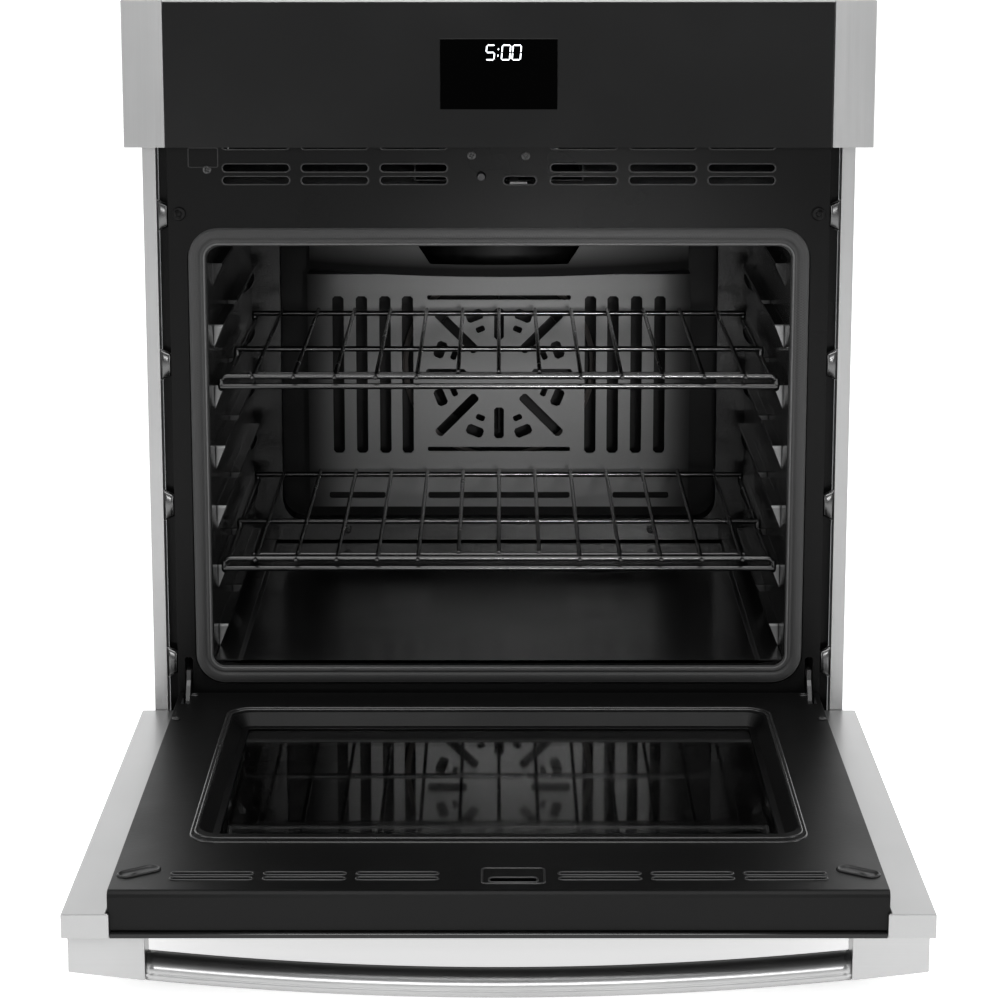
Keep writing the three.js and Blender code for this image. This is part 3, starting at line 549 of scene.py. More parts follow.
def wool_blanket():
    """Sleeve between an inner (u = 0) and an outer (u = 1) oblong, its outer skin dented.

    At share t of the way round and depth y the skin is drawn in to
    u = 1 - 0.05 (1 + sin(14 pi t + y / 31) cos(y / 47 - 10 pi t)).
    """
    t = np.linspace(0, 1, 281)
    loops = []
    for oblong in (WOOL_INSIDE, WOOL_OUTSIDE):
        path, _ = rounded_path(*oblong)
        steps = np.hypot(*np.diff(path, axis=0).T)
        share = np.concatenate([[0.0], np.cumsum(steps)]) / steps.sum()
        loops.append(np.stack([np.interp(t, share, path[:, k]) for k in (0, 1)]))
    rise = np.linspace(0, 1, 9)
    along = np.linspace(0, 1, 61)
    u = np.concatenate([rise, 1 + 0 * along[1:], 1 - rise[1:], 0 * along[1:]])
    depth = np.concatenate([0 * rise, along[1:], 1 + 0 * rise[1:], 1 - along[1:]])
    y = (WOOL_FRONT + (WOOL_BACK - WOOL_FRONT) * depth)[None, :] + 0 * t[:, None]
    turn = 2 * math.pi * t[:, None]
    dent = 0.05 * (1 + np.sin(7 * turn + y / 31) * np.cos(y / 47 - 5 * turn))
    u = u[None, :] * (1 - dent)
    inner, outer = loops
    x = inner[0][:, None] + (outer[0] - inner[0])[:, None] * u
    z = inner[1][:, None] + (outer[1] - inner[1])[:, None] * u
    return on_chassis(x, y, z)


# Painted shade: the wool's colour is near-black, for the shade seen through the frame's slots.
piece("mineral_wool_blanket", [wool_blanket()], spun_fibre("mineral_wool", (0.05, 0.05, 0.05, 1)),
      "root", ("insulation_wrap",))


# ---- Screws and door bumpers of the front frame ---------------------------------------------
# Blackened pan-head screws with a cross recess hold the frame and the parts behind it. Two
# round buffers stand where the closed door's upper corners come to rest.
SCREW_POINTS = ((-25.0, 583.0), (24.8, 582.6), (-268.8, 570.0))
BUMPERS = ((-295.5, 529.0), (295.5, 529.0))


def screw_head(place, x, z, y, radius, height, turn=0.3):
    """Low dome with two crossed grooves in it, closed behind the sheet.

    Point r, a is r out from the middle at angle a, and stands height x sqrt(1 - 0.75 (r/R)^2)
    in front, less 0.55 x height in the grooves.
    """
    share = np.concatenate([np.linspace(0, 0.94, 13), [1.0, 1.0, 0.0]])[:, None]
    angle = np.linspace(0, 2 * math.pi, 33)[None, :]
    dx, dz = radius * share * np.cos(angle), radius * share * np.sin(angle)
    stand = height * np.sqrt(np.clip(1 - share**2 * 0.75, 0, 1)) + 0 * angle
    u = dx * math.cos(turn) + dz * math.sin(turn)
    v = dz * math.cos(turn) - dx * math.sin(turn)
    groove = np.maximum(
        np.exp(-((u / (0.16 * radius)) ** 4)) * (abs(v) < 0.62 * radius),
        np.exp(-((v / (0.16 * radius)) ** 4)) * (abs(u) < 0.62 * radius),
    )
    stand = stand - groove * height * 0.55
    stand[-2:] = -0.2
    return place(x + dx, y - stand, z + dz)


def ring_of(place, x, z, y, profile, sides=40):
    """Turns a closed profile of radius and stand-off about an axis square to the sheet."""
    profile = np.asarray(profile, float)
    angle = np.linspace(0, 2 * math.pi, sides + 1)[None, :]
    radius, stand = profile[:, 0, None], profile[:, 1, None]
    return place(x + radius * np.cos(angle), y - stand + 0 * angle, z + radius * np.sin(angle))


plated, plated_tree, plated_shader = material("blackened_screws", Metallic=1.0)
use_group(plated_tree, ZINC_CRYSTALS, plated_shader, 0.00001, Colour=(0.08, 0.08, 0.08, 1),
          Crystal_Size=700.0)
piece("front_frame_screws",
      [screw_head(on_chassis, x, z, FRAME_FACE, 4.0, 2.2, 0.3 + i)
       for i, (x, z) in enumerate(SCREW_POINTS)],
      plated, "root")
BUMPER_PROFILE = [(0.0, 1.2), (2.2, 1.2), (2.6, 0.7), (3.4, 0.7), (4.0, 2.2), (5.4, 2.4),
                  (6.3, 1.6), (6.5, -0.2), (0.0, -0.2)]
piece("door_bumpers",
      [ring_of(on_chassis, x, z, FRAME_FACE, BUMPER_PROFILE) for x, z in BUMPERS],
      black_enamel, "root")


# ---- Chassis screws and pressed beads -------------------------------------------------------
# Sheet-metal screws join the chassis sheets along their edges, a hand's width apart. A low bead
# is pressed outwards round the middle of the side, rear and top sheets to keep them flat.
REAR_FACE, TOP_FACE, SIDE_FACE = 624.0, 715.0, 304.0
SCREW_INSET, SCREW_RADIUS, SCREW_HEIGHT = 9.0, 4.2, 1.6
ROW_START, SIDE_COLUMN_START, REAR_COLUMN_START = 40.0, 60.0, 100.0
GLAND_ROOM = 60.0
BEAD_INSET, BEAD_RADIUS, BEAD_CORNER = 62.0, 2.6, 30.0
BEAD_SINK = [0.0, -1.8]


def rear_sheet(x, y, z):
    """A drawing on the rear cover, where y is the depth under its face."""
    return on_chassis(x, REAR_FACE - np.asarray(y, float), z)


def top_sheet(x, y, z):
    """A drawing on the top cover, its second direction running to the rear."""
    return on_chassis(x, z, TOP_FACE - np.asarray(y, float))


def side_sheet(side):
    """A drawing on one side panel, its first direction running to the rear."""
    return lambda x, y, z: on_chassis(side * (SIDE_FACE - np.asarray(y, float)), x, z)


screw_zinc = zinc_plate("zinc_on_chassis_screws", (0.2, 0.2, 0.21, 1), 400.0)
CHASSIS_FACES = {
    "rear": (rear_sheet, (-302.0, 302.0), (2.0, 713.0)),
    "top": (top_sheet, (-304.0, 304.0), (44.0, 624.0)),
    "side_left": (side_sheet(-1), (44.0, 624.0), (2.0, 713.0)),
    "side_right": (side_sheet(1), (44.0, 624.0), (2.0, 713.0)),
}
for face_name, (place, (low_a, high_a), (low_b, high_b)) in CHASSIS_FACES.items():
    row = np.linspace(low_a + ROW_START, high_a - ROW_START, 5)
    if face_name.startswith("side"):
        spots = [(a, low_b + SCREW_INSET) for a in row[1:]]
        spots += [(a, high_b - SCREW_INSET) for a in row[1:]]
        column = np.linspace(low_b + SIDE_COLUMN_START, high_b - SIDE_COLUMN_START, 5)
        spots += [(high_a - SCREW_INSET, b) for b in column]
    else:
        spots = [(a, b) for a in row for b in (low_b + SCREW_INSET, high_b - SCREW_INSET)]
        if face_name == "rear":
            column = np.linspace(low_b + REAR_COLUMN_START, high_b - REAR_COLUMN_START, 4)
            spots += [(a, b) for a in (low_a + SCREW_INSET, high_a - SCREW_INSET)
                      for b in column]
    piece("chassis_screws_" + face_name,
          [screw_head(place, a, b, 0.0, SCREW_RADIUS, SCREW_HEIGHT, 0.4 * a + b)
           for a, b in spots],
          screw_zinc, "root")
    top_b = high_b - BEAD_INSET - (GLAND_ROOM if face_name == "rear" else 0)
    bead_path, bead_out = rounded_path(low_a + BEAD_INSET, high_a - BEAD_INSET,
                                       low_b + BEAD_INSET, top_b, BEAD_CORNER)
    piece("pressed_bead_" + face_name,
          [place(*bead_on(bead_path, bead_out, 0.0, round_section(BEAD_RADIUS) + BEAD_SINK))],
          zinc, "root")


# ---- Side trims and bottom vent trim --------------------------------------------------------
# Brushed stainless strips cover the edge of the cabinet cut-out. Domed spring tabs pressed out
# of each one's inner flange grip the front frame. The louvred bottom trim is enamelled.
TAB_HEIGHTS = (99.0, 252.0, 387.0, 527.0)
TAB_INNER, TAB_OUTER = 306.1, 316.2
TAB_HALF_WIDTH, TAB_FLARE, TAB_RISE = 10.2, 4.6, 3.6
TAB_FRONT, TAB_BACK = FRAME_FACE + 2.2, FRAME_FACE + 2.4
STEEL_COLOUR = (0.4, 0.4, 0.4, 1)


def brushed_grain():
    """Noise drawn out along the rolling direction: fine scratches of tone, gloss and depth."""
    group, given, out, place = effect_group(
        "brushed_grain",
        [
            ("Colour", COLOUR_SOCKET, STEEL_COLOUR),
            ("Roughness", NUMBER_SOCKET, 0.33),
            ("Stretch", "NodeSocketVector", (6, 900, 900)),
        ],
        SURFACE_OUTPUTS,
    )
    drawn = group.nodes.new("ShaderNodeVectorMath")
    drawn.operation = "MULTIPLY"
    group.links.new(place, drawn.inputs[0])
    group.links.new(given["Stretch"], drawn.inputs[1])
    scratch = add_noise(group, drawn.outputs[0], 1.0, 3.0, 0.6)
    cloud = add_noise(group, place, 7.0, 2.0)
    tone = add_math(
        group, "ADD", add_range(group, scratch, 0.25, 0.75, -0.025, 0.025),
        add_range(group, cloud, 0.3, 0.7, 0.95, 1.04),
    )
    shade = group.nodes.new("ShaderNodeHueSaturation")
    group.links.new(given["Colour"], shade.inputs["Color"])
    group.links.new(tone, shade.inputs["Value"])
    group.links.new(shade.outputs["Color"], out["Colour"])
    gloss = add_range(group, scratch, 0.25, 0.75, -0.03, 0.03)
    group.links.new(add_math(group, "ADD", given["Roughness"], gloss), out["Roughness"])
    group.links.new(scratch, out["Height"])
    return group


BRUSHED_GRAIN = brushed_grain()


def brushed_steel(name, stretch, roughness=0.33, colour=STEEL_COLOUR, depth=0.000006):
    """Stainless sheet brushed along the axis whose stretch is small."""
    made, tree, shader = material(name, Metallic=1.0)
    use_group(tree, BRUSHED_GRAIN, shader, depth, Colour=colour, Roughness=roughness,
              Stretch=stretch)
    return made


ALONG_X, ALONG_Y, ALONG_Z = (6, 900, 900), (900, 6, 900), (900, 900, 6)
steel_upright = brushed_steel("stainless_brushed_upright", ALONG_Z)
# Painted shade: the tabs' steel is much darker than the trims', for the shade on the inner flange.
tab_steel_painted_shade = brushed_steel("stainless_tabs_painted_shade", ALONG_Z, 0.24, (0.13, 0.13, 0.13, 1))
for side_name, side in (("left", -1), ("right", 1)):
    dress("side_trim_" + side_name, steel_upright, 0.0003)
    u = np.linspace(0, 1, 17)[:, None]
    v = np.linspace(0, 1, 25)[None, :]
    domes = []
    for height in TAB_HEIGHTS:
        dome_x = side * (TAB_INNER + (TAB_OUTER - TAB_INNER) * u) + 0 * v
        dome_z = height + (2 * v - 1) * (TAB_HALF_WIDTH + TAB_FLARE * u)
        rise = TAB_RISE * (4 * v * (1 - v)) ** 0.5 * (1 - (2 * u - 1) ** 4) ** 0.5
        domes += closed_slab(on_chassis(dome_x, TAB_FRONT - rise, dome_z),
                             on_chassis(dome_x, TAB_BACK + 0 * rise, dome_z))
    piece("trim_tab_domes_" + side_name, domes, tab_steel_painted_shade, "root")
dress("bottom_vent_trim", black_enamel)


# ---- Cavity ---------------------------------------------------------------------------------
# A welded box of pressed steel with seven rack ledges in each side, enamelled dark grey inside.
# Its enamel is glossier and has more pale specks than the frame's.
cavity_enamel = enamel("cavity_enamel", 0.005, 0.08, 0.2, 0.00008, shine=0.4)
for node in ("cavity_front_ring", "cavity_wall_left", "cavity_wall_right", "cavity_roof",
             "cavity_floor", "cavity_back"):
    dress(node, cavity_enamel, 0.0012)

LEDGE_LOWEST, LEDGE_PITCH, LEDGE_COUNT = 122.2, 58.8, 7
LEDGE_WALL, LEDGE_REACH = 271.3, 9.2
LEDGE_RUNS = ((99.8, 24.0), (249.8, 17.0))
BOSS_REACH, BOSS_START, BOSS_LENGTH, BOSS_DROP = 8.4, 452.0, 44.0, 24.0


def ledge_end(side, front, top, height):
    """Thin three-cornered cap, wide at its top, over the front end of a pressed ledge."""
    u = np.linspace(0, 1, 9)[:, None]
    v = np.linspace(0, 0.97, 9)[None, :]
    x = side * (LEDGE_WALL - LEDGE_REACH * u * (1 - v))
    z = top - 0.6 - (height - 1.0) * v + 0 * u
    swell = 0.3 * np.sin(math.pi * u) * (1 - v)
    return closed_slab(on_chassis(x, front - 0.2 - swell, z),
                       on_chassis(x, front + 0.1 + 0 * x, z))


def ledge_boss(side, top):
    """Rounded lobes below a ledge's rear end, in a row along u.

    Point u, v stands out by 8.4 mm x sin(pi v)^0.6 x sin(pi u)^0.35 x (0.68 + 0.32 |cos 3 pi u|).
    """
    u = np.linspace(0, 1, 37)[:, None]
    v = np.linspace(0, 1, 17)[None, :]
    reach = BOSS_REACH * np.sin(math.pi * v) ** 0.6 * np.sin(math.pi * u) ** 0.35
    reach = reach * (0.68 + 0.32 * np.abs(np.cos(3 * math.pi * u)))
    y, z = BOSS_START + BOSS_LENGTH * u + 0 * v, top - 1.0 - BOSS_DROP * v + 0 * u
    wall = side * (LEDGE_WALL + 0.4)
    return closed_slab(on_chassis(wall - side * reach, y, z),
                       on_chassis(wall + side * 0.2 + 0 * reach, y, z))


# Painted highlights: the ledges' front ends are capped in a pale metal (front run) and an enamel
# paler than the cavity's (rear run), where they catch the light.
ledge_end_highlight, ledge_highlight_tree, ledge_highlight_shader = material("ledge_ends_painted_highlight", Metallic=0.8)
use_group(ledge_highlight_tree, BRUSHED_GRAIN, ledge_highlight_shader, 0.00001, Colour=(0.3, 0.3, 0.3, 1),
          Roughness=0.5, Stretch=(300, 300, 300))
ledge_tops = [LEDGE_LOWEST + LEDGE_PITCH * k for k in range(LEDGE_COUNT)]
rear_ledge_highlight = enamel("ledge_enamel_painted_highlight", 0.05, 0.1, 0.4)
for run_name, (front, height), finish in zip(("front", "rear"), LEDGE_RUNS,
                                             (ledge_end_highlight, rear_ledge_highlight)):
    piece(f"ledge_{run_name}_ends",
          [grid for side in (-1, 1) for top in ledge_tops[:-1]
           for grid in ledge_end(side, front, top, height)],
          finish, "root")
piece("ledge_rear_bosses",
      [grid for side in (-1, 1) for top in ledge_tops for grid in ledge_boss(side, top)],
      cavity_enamel, "root")


# ---- Door gasket ----------------------------------------------------------------------------
# A braided glass-fibre tube clipped round the cavity mouth, which the closed door squeezes. Its
# ends meet at a seam in the bottom run, and a sewn edge lies along its inner side, painted paler
# than the braid as a highlight.
GASKET = {"half": 279.9, "low": 87.8, "high": 507.8, "radius": 20.0}
GASKET_BACK = 47.2
TUBE_HALF_WIDTH, TUBE_HALF_DEPTH = 7.9, 4.9
CREASE_DEPTH, CREASE_PLACE, CREASE_WIDTH = 1.7, 2.6, 1.1
SEAM_PLACE, SEAM_WIDTH, SEAM_SINK, BOTTOM_RUN_TOP = -150.0, 5.0, 0.8, 120.0
MAP_LENGTH, MAP_GIRTH = 1.95, 0.044
SEWN_INSET, SEWN_FACE, SEWN_RADIUS = 6.6, 38.9, 0.8


def braid(name, tone):
    """Two crossed sets of strands on the piece's own map, along and round the tube."""
    made, tree, shader = material(name, Sheen_Weight=0.15)
    flat = tree.nodes.new("ShaderNodeUVMap")
    flat.uv_map = "along_and_round"
    waves = []
    for slant in (1.0, -1.0):
        turned = tree.nodes.new("ShaderNodeMapping")
        turned.inputs["Rotation"].default_value = (0, 0, slant * math.radians(38))
        tree.links.new(flat.outputs["UV"], turned.inputs["Vector"])
        wave = tree.nodes.new("ShaderNodeTexWave")
        wave.inputs["Scale"].default_value = 170.0
        wave.inputs["Distortion"].default_value = 0.6
        tree.links.new(turned.outputs["Vector"], wave.inputs["Vector"])
        waves.append(wave.outputs["Fac"])
    height = add_math(tree, "MAXIMUM", *waves)
    fuzz = add_noise(tree, flat.outputs["UV"], 700.0)
    height = add_math(tree, "ADD", height, add_range(tree, fuzz, 0, 1, -0.2, 0.2))
    colour = add_mix(tree, add_range(tree, height, 0.2, 1.1, 0, 1),
                     (tone * 0.35, tone * 0.35, tone * 0.36, 1), (tone, tone, tone, 1))
    tree.links.new(colour, shader.inputs["Base Color"])
    tree.links.new(add_range(tree, height, 0, 1, 0.75, 0.5), shader.inputs["Roughness"])
    add_bump(tree, shader, height, 0.00012)
    return made


def map_along(made, rows, columns, length, girth):
    """Maps each corner to metres along the path and metres round the section."""
    mesh = made.data
    layer = mesh.uv_layers.new(name="along_and_round")
    vertex = np.zeros(len(mesh.loops), int)
    mesh.loops.foreach_get("vertex_index", vertex)
    r, c = vertex // columns, vertex % columns
    flat = np.stack([length * r / (rows - 1), girth * c / (columns - 1)], axis=1)
    layer.data.foreach_set("uv", flat.astype(np.float32).ravel())


def gasket_grid():
    """Superellipse section with a crease, carried round the mouth and sunk at the seam.

    At angle s the section is 7.9 |cos s|^0.8 wide and 4.9 (1 + |sin s|^0.75) deep, with the
    signs of cos s and sin s, less 1.7 exp(-((across + 2.6) / 1.1)^2) on its front.
    """
    path, out = rounded_path(-GASKET["half"], GASKET["half"], GASKET["low"], GASKET["high"],
                             GASKET["radius"], 14)
    fine, fine_out = [path[:1]], [out[:1]]
    for k in range(len(path) - 1):
        count = max(1, int(np.linalg.norm(path[k + 1] - path[k]) / 6))
        share = (np.arange(1, count + 1) / count)[:, None]
        fine.append(path[k] + share * (path[k + 1] - path[k]))
        fine_out.append(out[k] + share * (out[k + 1] - out[k]))
    path, out = np.vstack(fine), np.vstack(fine_out)
    out /= np.linalg.norm(out, axis=1)[:, None]
    turn = np.linspace(0, 2 * math.pi, 57)
    across = TUBE_HALF_WIDTH * np.sign(np.cos(turn)) * np.abs(np.cos(turn)) ** 0.8
    forward = TUBE_HALF_DEPTH * (1 + np.sign(np.sin(turn)) * np.abs(np.sin(turn)) ** 0.75)
    crease = np.exp(-(((across + CREASE_PLACE) / CREASE_WIDTH) ** 2)) * (np.sin(turn) > 0)
    forward -= CREASE_DEPTH * crease
    x, y, z = bead_on(path, out, GASKET_BACK, np.stack([across, forward], axis=1))
    seam = np.exp(-(((x - SEAM_PLACE) / SEAM_WIDTH) ** 2)) * (z < BOTTOM_RUN_TOP) * SEAM_SINK
    return on_chassis(x, np.where(y < GASKET_BACK - 1, y + seam, y), z)


gasket_points = gasket_grid()
gasket = new_object("woven_door_gasket", grid_mesh("woven_door_gasket", gasket_points))
map_along(gasket, *gasket_points.shape[:2], MAP_LENGTH, MAP_GIRTH)
gasket.data.materials.append(braid("gasket_braid", 0.022))
shape = bmesh.new()
shape.from_mesh(gasket.data)
bmesh.ops.remove_doubles(shape, verts=shape.verts, dist=0.000002)
bmesh.ops.recalc_face_normals(shape, faces=shape.faces)
shape.to_mesh(gasket.data)
shape.free()
smooth_faces(gasket)
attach(gasket, "root")
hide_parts("door_gasket")
edge_half = GASKET["half"] - SEWN_INSET
edge_path, edge_out = rounded_path(
    -edge_half, edge_half, GASKET["low"] + SEWN_INSET, GASKET["high"] - SEWN_INSET,
    GASKET["radius"] - SEWN_INSET, 10,
)
# Painted highlight: the sewn edge is paler than the braid, as a thin line of light along the
# gasket's inner side.
sewn, sewn_tree, sewn_shader = material("gasket_sewn_edge_painted_highlight", Roughness=0.55)
stitch = add_noise(sewn_tree, object_place(sewn_tree), 500.0)
sewn_tree.links.new(
    add_mix(sewn_tree, stitch, (0.05, 0.05, 0.05, 1), (0.13, 0.13, 0.13, 1)),
    sewn_shader.inputs["Base Color"],
)
piece("gasket_sewn_edge_painted_highlight",
      [on_chassis(*bead_on(edge_path, edge_out, SEWN_FACE, round_section(SEWN_RADIUS)))],
      sewn, "root")


# ---- Convection fan cover and top deflector -------------------------------------------------
# An enamelled cover, slotted round the fan and in louvres beside it, stands in a recess of the
# back wall. Above it a bowed deflector hides the broil element's ends. Both are screwed on.
COVER_SHADED_AT, COVER_LIT_AT = 0.212, 0.15
DEFLECTOR_SHADED_AT, DEFLECTOR_LIT_AT = 0.414, 0.462
SHADE_HALF_WIDTH, SHADE_DEEPEST, SHADE_BOW = 122.0, 489.0, 44.0
SHADE_LOW, SHADE_RISE, SHADE_THICK = 409.0, 74.0, 1.0
COVER_FACE = 537.3


def painted_shade_edge():
    """Paints shade on a finish: black and matt past one distance along an axis, smoothly from
    another.

    With d = |place . axis|, the lit share goes from 0 at d = Shaded At to 1 at d = Lit At.
    The colour is mixed from black painted shade by that share, and roughness is at least 1 less
    the share.
    """
    group, given, out, place = effect_group(
        "painted_shade_edge",
        [
            ("Colour", COLOUR_SOCKET, (0.2, 0.2, 0.2, 1)),
            ("Roughness", NUMBER_SOCKET, 0.3),
            ("Axis", "NodeSocketVector", (1, 0, 0)),
            ("Shaded At", NUMBER_SOCKET, COVER_SHADED_AT),
            ("Lit At", NUMBER_SOCKET, COVER_LIT_AT),
        ],
        SURFACE_OUTPUTS[:2],
    )
    along = group.nodes.new("ShaderNodeVectorMath")
    along.operation = "DOT_PRODUCT"
    group.links.new(place, along.inputs[0])
    group.links.new(given["Axis"], along.inputs[1])
    distance = add_math(group, "ABSOLUTE", along.outputs["Value"])
    lit_share = add_range(group, distance, given["Shaded At"], given["Lit At"], 0, 1)
    # Painted shade: the colour goes to black where the lit share is 0.
    colour = add_mix(group, lit_share, (0.003, 0.003, 0.003, 1), given["Colour"])
    group.links.new(colour, out["Colour"])
    matt = add_math(group, "SUBTRACT", 1.0, lit_share)
    group.links.new(add_math(group, "MAXIMUM", matt, given["Roughness"]), out["Roughness"])
    return group


PAINTED_SHADE_EDGE = painted_shade_edge()


def paint_shade_edge(finish, axis, shaded_at, lit_at):
    """Puts the painted shade edge between a finish's colour and roughness and its shader."""
    tree = finish.node_tree
    shader = tree.nodes["Principled BSDF"]
    node = tree.nodes.new("ShaderNodeGroup")
    node.node_tree = PAINTED_SHADE_EDGE
    for name, value in (("Axis", axis), ("Shaded At", shaded_at), ("Lit At", lit_at)):
        node.inputs[name].default_value = value
    for name, target in (("Colour", "Base Color"), ("Roughness", "Roughness")):
        tree.links.new(shader.inputs[target].links[0].from_socket, node.inputs[name])
        tree.links.new(node.outputs[name], shader.inputs[target])


# Near-black zinc, painted shade: behind the deflector's opening, and on the fan chamber and fan
# seen through the cover's slots.
shade_black_zinc = zinc_plate("zinc_painted_shade_black", (0.012, 0.012, 0.012, 1))
# Painted light and shade: the cover's enamel is paler than the cavity's, standing in for the light
# on its middle, and goes black towards its left and right edges as shade in the recess.
cover_enamel = enamel("cover_enamel", 0.1, 0.12, 0.36, 0.00006, shine=0.5)
paint_shade_edge(cover_enamel, (1, 0, 0), COVER_SHADED_AT, COVER_LIT_AT)
dress("fan_cover", cover_enamel, 0.0009)
# Painted light and shade: the deflector's enamel is paler than the cavity's, standing in for the
# light along its top, and goes black towards its lower edge as shade.
deflector_enamel = enamel("deflector_enamel", 0.22, 0.1, 0.3, shine=0.5)
paint_shade_edge(deflector_enamel, (0, 0, 1), DEFLECTOR_SHADED_AT, DEFLECTOR_LIT_AT)
dress("top_deflector", deflector_enamel, 0.0006)
# A black sheet behind the deflector's opening, put there as painted shade.
u = np.linspace(-1, 1, 41)[:, None]
v = np.linspace(0, 1, 5)[None, :]
shade_x = SHADE_HALF_WIDTH * u + 0 * v
shade_y = SHADE_DEEPEST + SHADE_BOW * u**2 + 0 * v
shade_z = SHADE_LOW + SHADE_RISE * v + 0 * u
piece("deflector_opening_shade",
      closed_slab(on_chassis(shade_x, shade_y, shade_z),
                  on_chassis(shade_x, shade_y + SHADE_THICK, shade_z)),
      shade_black_zinc, "root")
BACK_SCREWS = ((-169.0, 111.0), (169.0, 111.0))
piece("cavity_back_screws",
      [screw_head(on_chassis, x, z, COVER_FACE, 4.4, 2.0, 0.5 + x) for x, z in BACK_SCREWS],
      plated, "root")


# ---- Convection fan, its motor and its chamber ----------------------------------------------
# A pressed aluminium-coated fan turns in a shallow zinc-coated chamber behind the back wall.
# The motor hangs in the air duct behind it.
# The chamber and the fan are painted near-black, as the shade seen through the cover's slots.
dress("fan_chamber", shade_black_zinc)
dress("convection_fan", shade_black_zinc)
dress("convection_motor", zinc)


# ---- Elements, temperature sensor and lamp --------------------------------------------------
# Tubular heaters have a nickel-alloy sheath oxidised to a dark brown-grey. The sensor is a
# stainless rod, and the lamp shines through a pressed glass lens.
heat_scale, heat_tree, heat_shader = material("oxidised_sheath", Metallic=0.7)
use_group(heat_tree, BRUSHED_GRAIN, heat_shader, 0.00003, Colour=(0.11, 0.1, 0.095, 1),
          Roughness=0.5, Stretch=(200, 200, 200))
for node in ("broil_element", "bake_element", "convection_element"):
    dress(node, heat_scale, edge=0)
dress("temperature_sensor", brushed_steel("sensor_steel", ALONG_Y), edge=0)


def clear_glass(name, tint, roughness=0.01):
    """Clear soda-lime glass of a faint tint, with a film that varies its gloss."""
    made, tree, shader = material(
        name, Transmission_Weight=1.0, IOR=1.52, Metallic=0.0, Base_Color=tint
    )
    place = object_place(tree)
    film = add_noise(tree, place, 5.0, 3.0)
    tree.links.new(add_range(tree, film, 0.35, 0.75, roughness, roughness + 0.05),
                   shader.inputs["Roughness"])
    return made


dress("lamp_lens", clear_glass("lamp_glass", (0.9, 0.93, 0.92, 1), 0.08), 0.0006)


# ---- Cooling blower, latch and hinge receivers ----------------------------------------------
# Zinc-coated pressings behind the frame. The blower pulls air through the frame's slots, the
# latch motor swings the hook that locks the door, and the receivers hold the hinge arms.
for node in ("blower_wheel", "blower_motor", "conduit_gland"):
    dress(node, zinc, 0.0003)
# Painted shade: these pressings behind the frame's slots get a near-black zinc, as the shade seen
# through the slots.
zinc_painted_shade = zinc_plate("zinc_painted_shade", (0.1, 0.1, 0.1, 1), 300.0)
for node in ("blower_housing", "latch_motor", "latch_hook", "hinge_receiver_left",
             "hinge_receiver_right"):
    dress(node, zinc_painted_shade, 0.0003)
steel_arm = brushed_steel("stainless_hinge_arm", ALONG_Y, 0.35, (0.07, 0.07, 0.07, 1))
for node in ("hinge_arm_left", "hinge_arm_right"):
    dress(node, steel_arm, 0.0004)


# ---- Control board, display module and door switch ------------------------------------------
# A green fibre-glass board and black moulded housings stand in the panel's tray.
board, board_tree, board_shader = material("circuit_board_laminate", Roughness=0.45)
weave = add_noise(board_tree, object_place(board_tree), 350.0)
board_tree.links.new(
    add_mix(board_tree, weave, (0.01, 0.09, 0.04, 1), (0.03, 0.2, 0.09, 1)),
    board_shader.inputs["Base Color"],
)
dress("control_board", board)
moulded, moulded_tree, moulded_shader = material("black_moulding", Specular_IOR_Level=0.4)
use_group(moulded_tree, FIRED_ENAMEL, moulded_shader, 0.00005, Colour=(0.02, 0.02, 0.021, 1),
          Specks=0.02, Roughness=0.48)
for node in ("display_module", "door_switch", "door_switch_plunger"):
    dress(node, moulded)


# ---- Control panel --------------------------------------------------------------------------
# A black glass plate between two brushed end caps, on a folded stainless tray. A dark lens in
# its middle covers a segment display that shows only the time.
PANEL_MIDDLE = (594.6 + 727.0) / 2
DIGIT_HEIGHT, DIGIT_WIDTH, SEGMENT = 13.0, 7.4, 1.0
DIGIT_PLACES = ((-9.1, "afgcd"), (5.0, "abcdef"), (14.6, "abcdef"))
COLON_X = -2.1


def black_glass(name, tone=0.006, shine=0.3):
    """Glass enamelled black behind: deep gloss, with a wiped film that dulls it in patches."""
    made, tree, shader = material(name, IOR=1.5, Specular_IOR_Level=shine)
    place = object_place(tree)
    film = add_noise(tree, place, 6.0, 4.0)
    tree.links.new(add_range(tree, film, 0.35, 0.7, 0.05, 0.12), shader.inputs["Roughness"])
    tree.links.new(
        add_mix(tree, film, (tone, tone, tone, 1), (tone * 1.6, tone * 1.6, tone * 1.6, 1)),
        shader.inputs["Base Color"],
    )
    return made


panel_glass = black_glass("black_glass_plate", 0.0075)
dress("control_panel_glass", panel_glass, 0.0006)
dress("display_window", black_glass("display_lens", 0.0002, 0.04), 0.0003)
steel_level = brushed_steel("stainless_brushed_level", ALONG_X)
dress("control_panel_tray", steel_level, 0.0004)
for side_name in ("left", "right"):
    dress("panel_end_cap_" + side_name, steel_upright, 0.0012)


def segment_outline(letter):
    """Middle, half length and direction of one of a digit's seven strokes."""
    half_w, half_h = DIGIT_WIDTH / 2, DIGIT_HEIGHT / 2
    level = {"a": half_h, "g": 0.0, "d": -half_h}
    if letter in level:
        return (0.0, level[letter]), half_w - 0.4, (1.0, 0.0)
    x = half_w if letter in "bc" else -half_w
    z = half_h / 2 if letter in "bf" else -half_h / 2
    return (x, z), half_h / 2 - 0.4, (0.0, 1.0)


